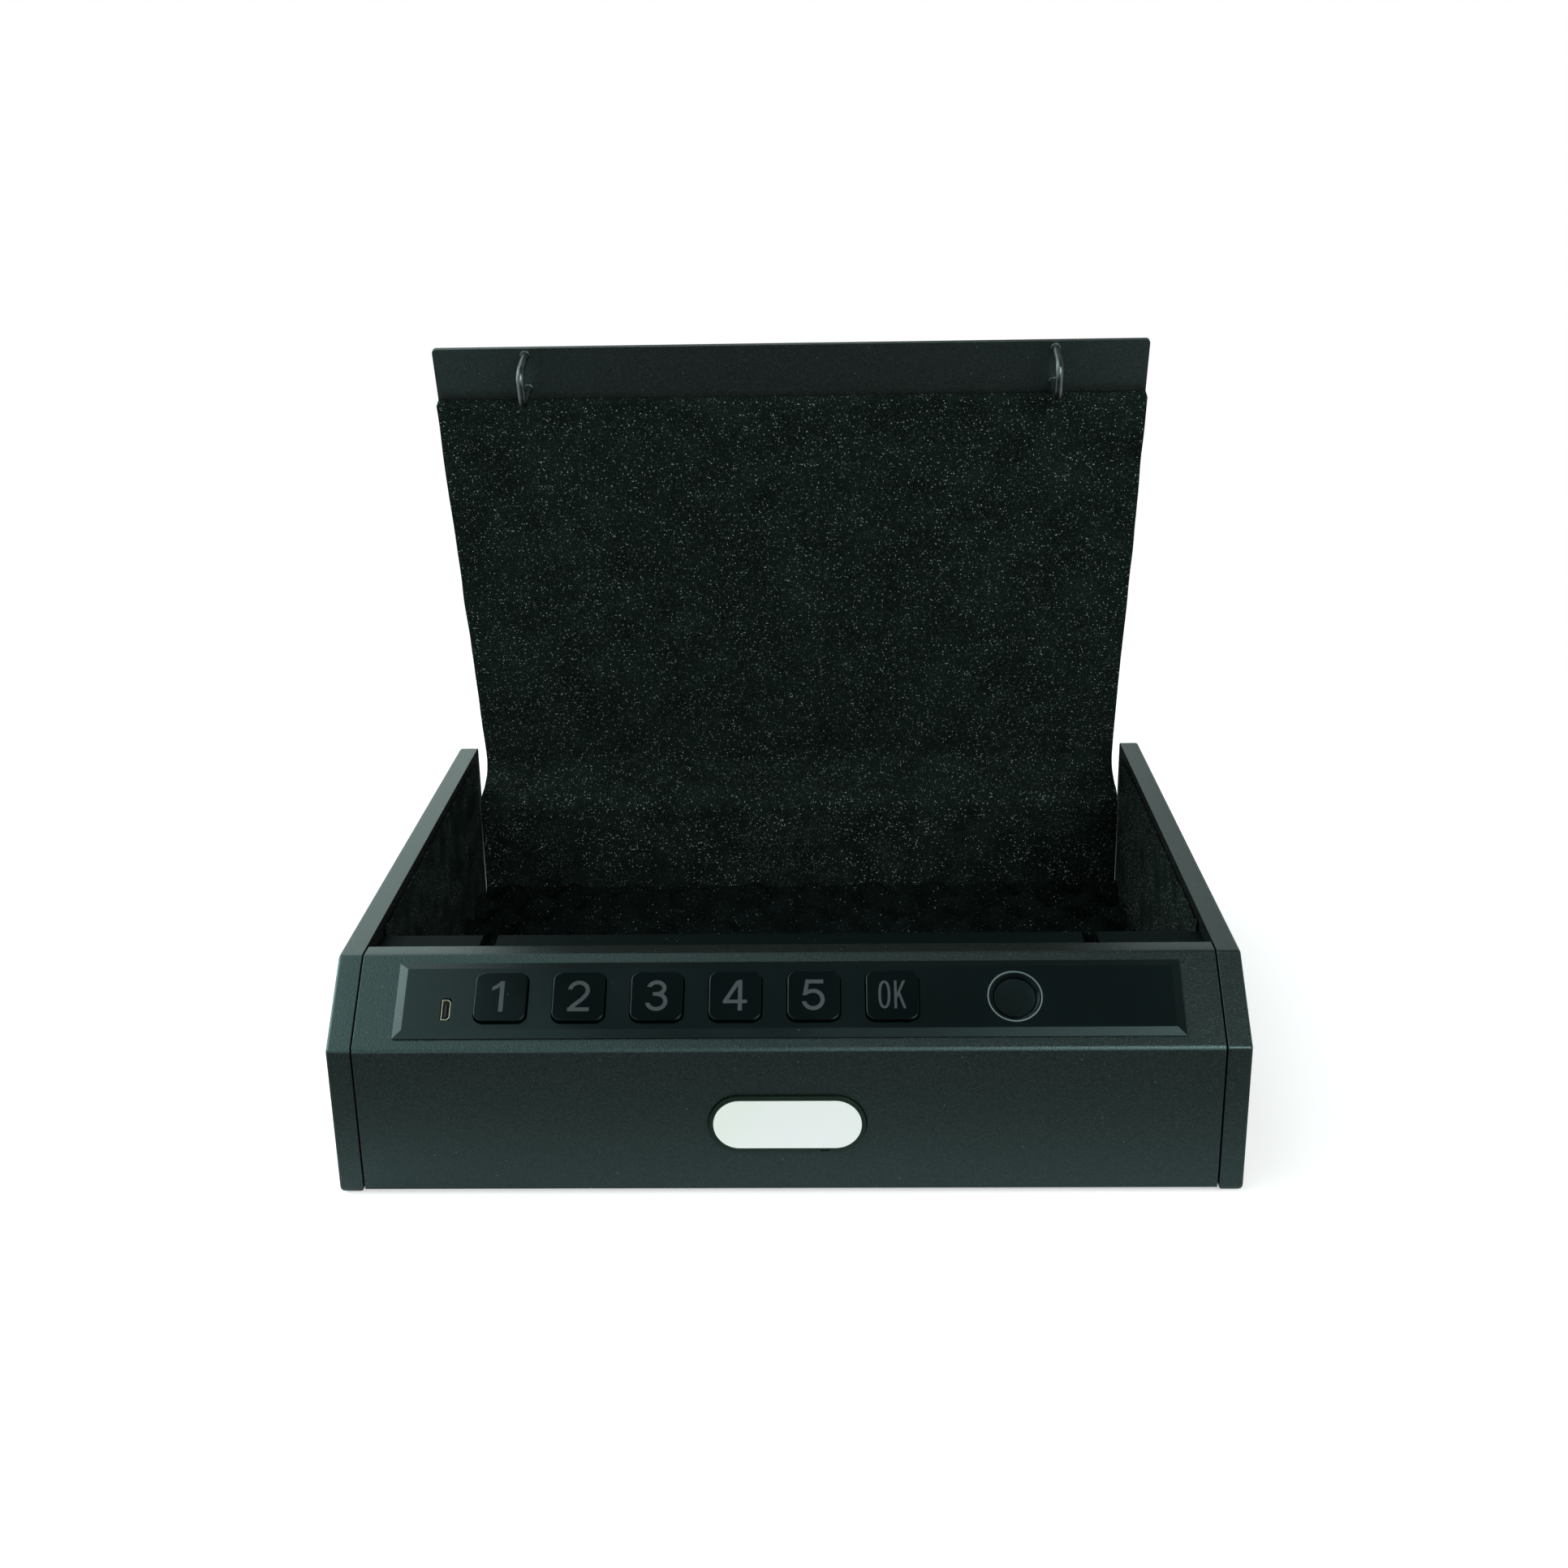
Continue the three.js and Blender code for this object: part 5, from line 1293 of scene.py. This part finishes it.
    def legend(self, index: int, text: str) -> Piece:
        """Prints a legend on a key, one thin stroke after another.

        Args:
            index: Place of the key in the row.
            text: The characters.

        Returns:
            The print in its place.
        """
        low = self.key_top + self.print_gap
        strokes = [
            cut_out("stroke", stroke.loops(), low, low + (0.03 + 0.006 * i) * MM)
            for i, stroke in enumerate(LEGENDS[text])
        ]
        piece = joined(*strokes)
        piece.name = piece.data.name = f"legend_{text.lower()}"
        return settle(piece, ON_PANEL @ Matrix.Translation((self.key_x(index), self.middle, 0)))

    def socket(self) -> None:
        """Makes the charging socket: a thin metal shell, a dark lining and its tongue."""
        (x, y), half, long, cut = self.port, 1.5 * MM, 3.8 * MM, 0.9 * MM

        def outline(inset: float) -> list[tuple[float, float]]:
            """Gives the socket's outline, one side cut at its corners."""
            w, l, c = half - inset, long - inset, cut - inset * 0.4
            shape = [(-w, -l), (w - c, -l), (w, -l + c), (w, l - c), (w - c, l), (-w, l)]
            return [(x + a, y + b) for a, b in shape]

        wall, clear = 0.21 * MM, 0.01 * MM
        for name, loops, low, high, slot, finish in (
            ("usb_port_shell", [outline(0), outline(wall)], -3.3 * MM, 1.9 * MM, Slot.BRASS, "socket_gilt"),
            ("usb_port_lining", [outline(wall + clear)], -3.3 * MM, 0.4 * MM, Slot.PLASTIC, "keycap_gloss"),
        ):
            piece = settle(soften(cut_out(name, loops, low, high), 0.05 * MM, 40), ON_PANEL)
            if name == "usb_port_shell":
                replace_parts(piece, "usb_port")
            fitted(piece, Body.CASE.value, self.finishes[finish])
        tongue = block("usb_port_tongue", (0.6 * MM, 5 * MM, 1.2 * MM), (x - 0.1 * MM, y, 0.8 * MM))
        settle(soften(tongue, 0.08 * MM), ON_PANEL)
        fitted(tongue, Body.CASE.value, self.finishes["works_plastic"])

    def sensor(self) -> None:
        """Turns the light ring and the dished glass of the sensor."""
        centre = ON_PANEL @ Matrix.Translation((self.sensor_x, self.middle, 0))
        ring_line = (
            (8.95, 1.05), (9.42, 1.05), (9.42, 2.2), (9.36, 2.29), (9.19, 2.34), (9.01, 2.29), (8.95, 2.2),
            (8.95, 1.05),
        )
        glass_line = (
            (0, -3.5), (7.2, -3.5), (7.2, -1.7), (8.8, -1.7), (8.8, -0.6), (7.2, -0.6), (7.2, 0.75),
            (7.05, 0.9), (6.4, 0.82), (4.5, 0.62), (2.2, 0.5), (0, 0.46),
        )
        lines = (("fingerprint_ring_moulded", ring_line), ("fingerprint_sensor_glass", glass_line))
        ring, glass = (
            turned(name, [(radius * MM, height * MM) for radius, height in line], 96) for name, line in lines
        )
        for piece, node, slot, finish in (
            (ring, "fingerprint_ring", Slot.GREY, "ring_print"),
            (glass, "fingerprint_sensor", Slot.PANEL, "sensor_glass"),
        ):
            settle(soften(piece, 0, 40), centre)
            fitted(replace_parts(piece, node), Body.CASE.value, self.finishes[finish])

    def build(self) -> None:
        """Makes the module's pieces."""
        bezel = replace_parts(self.bezel(), "keypad_bezel")
        fitted(bezel, Body.CASE.value, self.finishes["panel_gloss"])
        for index, (node, text) in enumerate(self.legends):
            fitted(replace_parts(self.key(index, node), node), node, self.finishes["keycap_gloss"])
            fitted(self.legend(index, text), node, self.finishes["legend_print"])
        self.sensor()
        self.socket()
        dress(self.finishes["board_lacquer"], "keypad_board")


@dataclass
class Badge:
    """Oval cover with a dark rim and a bare white insert."""

    finishes: Finishes
    length: float = 54.1 * MM
    width: float = 21.3 * MM
    up: float = 27.65 * MM
    low: float = -0.6 * MM
    proud: float = 1.3 * MM
    head_room: float = 8.4 * MM
    head_top: float = 0.75 * MM
    rim_wall: float = 1.3 * MM
    rim_floor: float = 0.7 * MM
    insert_inset: float = 1.5 * MM
    insert_back: float = 0.86 * MM
    insert_sink: float = 0.08 * MM

    def pill(self, name: str, inset: float, low: float, high: float) -> Piece:
        """Makes a block with half-round ends.

        Args:
            name: Name of the piece.
            inset: How far its edge lies inside the badge's.
            low: Its back, from the case's front face.
            high: Its front.

        Returns:
            The new piece, flat on Z.
        """
        size = (self.length - 2 * inset, self.width - 2 * inset, high - low)
        return block(name, size, (0, self.up, (low + high) / 2), size[1] / 2 - 0.01 * MM, 20)

    def build(self) -> None:
        """Moulds the rim and the insert."""
        rim = self.pill("badge_rim_moulded", 0, self.low, self.proud)
        room, top = self.head_room, self.head_top
        head = turned("cutter", [(0, -OVERRUN), (room, -OVERRUN), (room, top), (0, top)], 48)
        settle(head, Matrix.Translation((0, self.up, 0)))
        nick = block("cutter", (3 * MM, 1.8 * MM, 3.2 * MM), (12.8 * MM, self.up - self.width / 2, 0))
        drilled(rim, self.pill("cutter", self.rim_wall, self.rim_floor, OVERRUN), head, nick)
        soften(rim, 0.28 * MM, 50, 3)
        front = self.proud - self.insert_sink
        insert = self.pill("badge_insert_bare", self.insert_inset, self.insert_back, front)
        soften(insert, 0.12 * MM, 50, 3)
        for piece, node, slot, finish in (
            (rim, "badge_rim", Slot.PANEL, "badge_rim_plastic"),
            (insert, "badge_insert", Slot.WHITE, "badge_insert_white"),
        ):
            settle(piece, ON_FRONT)
            fitted(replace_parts(piece, node), Body.BADGE.value, self.finishes[finish])


@dataclass
class Works:
    """Hidden works: lock bar and drive, override key lock, battery bay and hinge."""

    finishes: Finishes
    edge: float = 0.15 * MM

    def build(self) -> None:
        """Refines the pieces that can be seen and dresses the others."""
        zinc, plastic = self.finishes["steel_zinc"], self.finishes["works_plastic"]
        coat = self.finishes["powder_coat_body"]
        for node, body, slot, material in (
            ("lock_bar", "lock_bar", Slot.STEEL, zinc),
            ("hinge_leaf_case", "case", Slot.STEEL, coat),
            ("hinge_leaf_lid", "lid", Slot.STEEL, coat),
            ("battery_door", "battery_door", Slot.PLASTIC, plastic),
        ):
            fitted(refined(node, f"{node}_finished", self.edge), body, material)
        dress(zinc, "bar_bracket", "guide_pin_left", "guide_pin_right", "gear_motor", "motor_mount")
        dress(zinc, "lock_cylinder", "key_cam", "hinge_pin")
        dress(self.finishes["brass_turned"], "drive_pinion", "lock_nut", "key_plug")
        dress(plastic, "battery_box")
        dress(self.finishes["cell_sleeve_print"], "battery_1", "battery_2", "battery_3", "battery_4")
        dress(self.finishes["steel_wire"], "lid_spring_left", "lid_spring_right")


@dataclass
class Studio:
    """Pale floor, soft lights and the camera at the photograph's angle."""

    eye: Vector = field(default_factory=lambda: Vector((0.017083, FRONT_Y - 0.568492, 0.352360)))
    yaw: float = 0.0285184
    pitch: float = 0.339743
    roll: float = -0.0176822
    lens: float = 43.03
    floor_seen: float = 1.7
    floor_near: float = 0.68
    floor_far: float = 0.1
    floor_side: float = 0.8

    def camera(self) -> None:
        """Places the camera."""
        reach = math.cos(self.pitch)
        ahead = Vector((-math.sin(self.yaw) * reach, math.cos(self.yaw) * reach, -math.sin(self.pitch)))
        level = Vector((math.cos(self.yaw), math.sin(self.yaw), 0))
        rise = level.cross(ahead)
        right = math.cos(self.roll) * level + math.sin(self.roll) * rise
        up = -math.sin(self.roll) * level + math.cos(self.roll) * rise
        bpy.ops.object.camera_add(location=self.eye)
        camera = bpy.context.object
        turn = Matrix((right, up, -ahead)).transposed()
        camera.matrix_world = Matrix.Translation(self.eye) @ turn.to_4x4()
        camera.data.lens, camera.data.sensor_width = self.lens, 36
        camera.data.clip_start, camera.data.clip_end = 0.01, 50
        bpy.context.scene.camera = camera

    def floor(self) -> None:
        """Lays the floor: white to the camera, with the safe's soft shadow."""
        bpy.ops.mesh.primitive_circle_add(vertices=96, radius=14, fill_type="NGON", location=(0, 0, -0.0002))
        ground = bpy.context.object
        ground.name = "studio_floor"
        material = bpy.data.materials.new("studio_floor_paint")
        material.use_nodes = True
        wire = Wiring(material.node_tree)
        out, seen = wire.add("ShaderNodeOutputMaterial"), wire.add("ShaderNodeLightPath")
        paint, glow = wire.add("ShaderNodeBsdfDiffuse"), wire.add("ShaderNodeEmission")
        mix = wire.add("ShaderNodeMixShader")
        place = wire.add("ShaderNodeTexCoord").outputs["Object"]
        length, parts = wire.add("ShaderNodeVectorMath"), wire.add("ShaderNodeSeparateXYZ")
        length.operation = "LENGTH"
        wire.link(place, length.inputs[0])
        wire.link(place, parts.inputs["Vector"])
        across = wire.maths("SUBTRACT", wire.maths("ABSOLUTE", parts.outputs["X"], 0), 0.1575)
        ahead = wire.maths("SUBTRACT", wire.maths("ABSOLUTE", parts.outputs["Y"], 0), -FRONT_Y)
        card = wire.ramp(wire.maths("MAXIMUM", across, ahead), 0.0, 0.075, self.floor_near, self.floor_far)
        card = wire.maths("MAXIMUM", card, wire.ramp(across, 0.08, 0.25, 0, self.floor_side))
        extra = wire.maths("SUBTRACT", self.floor_seen, card)
        tone = wire.maths("ADD", card, wire.maths("MULTIPLY", seen.outputs["Is Camera Ray"], extra))
        wire.link(tone, paint.inputs["Color"])
        far = wire.ramp(length.outputs["Value"], 0.3, 0.7, 0.5, 1)
        wire.link(wire.maths("MULTIPLY", far, seen.outputs["Is Camera Ray"]), mix.inputs["Fac"])
        glow.inputs["Strength"].default_value = 1.0
        wire.link(paint.outputs["BSDF"], mix.inputs[1])
        wire.link(glow.outputs["Emission"], mix.inputs[2])
        wire.link(mix.outputs["Shader"], out.inputs["Surface"])
        ground.data.materials.append(material)

    def sky(self) -> None:
        """Surrounds the safe with a bright backdrop, soft walls beside the camera and a dim ceiling."""
        world = bpy.data.worlds.new("studio_room")
        bpy.context.scene.world = world
        world.use_nodes = True
        wire = Wiring(world.node_tree)
        out, seen = wire.add("ShaderNodeOutputWorld"), wire.add("ShaderNodeLightPath")
        parts = wire.add("ShaderNodeSeparateXYZ")
        wire.link(wire.add("ShaderNodeTexCoord").outputs["Generated"], parts.inputs["Vector"])
        x, y, z = (parts.outputs[axis] for axis in "XYZ")
        behind = wire.ramp(x, 0.02, 0.18, 1.0, 0.42)
        aside = wire.maths("ABSOLUTE", wire.maths("ADD", x, 0.045), 0)
        near, far = wire.ramp(aside, 0.06, 0.2, 0.15, 2.0), wire.ramp(aside, 0.36, 0.55, 2.0, 0.8)
        boxes = wire.maths("MINIMUM", near, far)
        before = wire.maths("MULTIPLY", boxes, wire.ramp(x, -0.15, 0.15, 0.85, 1.15))
        before = wire.maths("MULTIPLY", before, wire.ramp(z, 0.24, 0.45, 1.0, 0.3))
        wall = wire.level(wire.ramp(y, -0.2, 0.2, 0, 1), before, behind)
        bright, left = wire.ramp(x, -0.213, -0.186, 1.5, 0.12), wire.ramp(x, -0.8, -0.45, 2.0, 0)
        ceiling = wire.maths("ADD", bright, left)
        strength = wire.level(wire.ramp(z, 0.42, 0.68, 0, 1), wall, ceiling)
        room, white = wire.add("ShaderNodeBackground"), wire.add("ShaderNodeBackground")
        mix = wire.add("ShaderNodeMixShader")
        wire.link(strength, room.inputs["Strength"])
        white.inputs["Strength"].default_value = 1.0
        room.inputs["Color"].default_value = (0.87, 1, 0.97, 1)
        white.inputs["Color"].default_value = (1, 1, 1, 1)
        wire.link(seen.outputs["Is Camera Ray"], mix.inputs["Fac"])
        wire.link(room.outputs["Background"], mix.inputs[1])
        wire.link(white.outputs["Background"], mix.inputs[2])
        wire.link(mix.outputs["Shader"], out.inputs["Surface"])

    def lamp(self, name: str, place: Sequence[float], size: float, power: float) -> None:
        """Hangs a square soft light that faces the safe.

        Args:
            name: Name of the lamp.
            place: Where it hangs.
            size: Length of its sides.
            power: Its power in watts.
        """
        bpy.ops.object.light_add(type="AREA", location=place)
        lamp = bpy.context.object
        lamp.name, lamp.data.name = name, name
        lamp.data.size, lamp.data.energy = size, power
        lamp.rotation_mode = "QUATERNION"
        lamp.rotation_quaternion = (Vector(place) - Vector((0, 0, 0.06))).to_track_quat("Z", "Y")

    def build(self) -> None:
        """Sets the camera, the floor, the room and the lamps."""
        self.camera()
        self.floor()
        self.sky()
        self.lamp("window_left", (-1.05, 0.2, 0.45), 0.6, 3.6)
        self.lamp("key_right", (0.75, -1.25, 0.95), 0.9, 12.8)
        bpy.context.scene.view_settings.view_transform = "Standard"


def main() -> None:
    """Builds the studio and every sub-assembly in order."""
    logging.basicConfig(level=logging.INFO, format="%(name)s: %(message)s")
    Studio().build()
    finishes = Finishes()
    for kind in (Case, Lid, Lining, ControlPanel, Badge, Works):
        kind(finishes).build()
        LOG.info("%s done", kind.__name__)


if __name__ == "__main__":
    main()
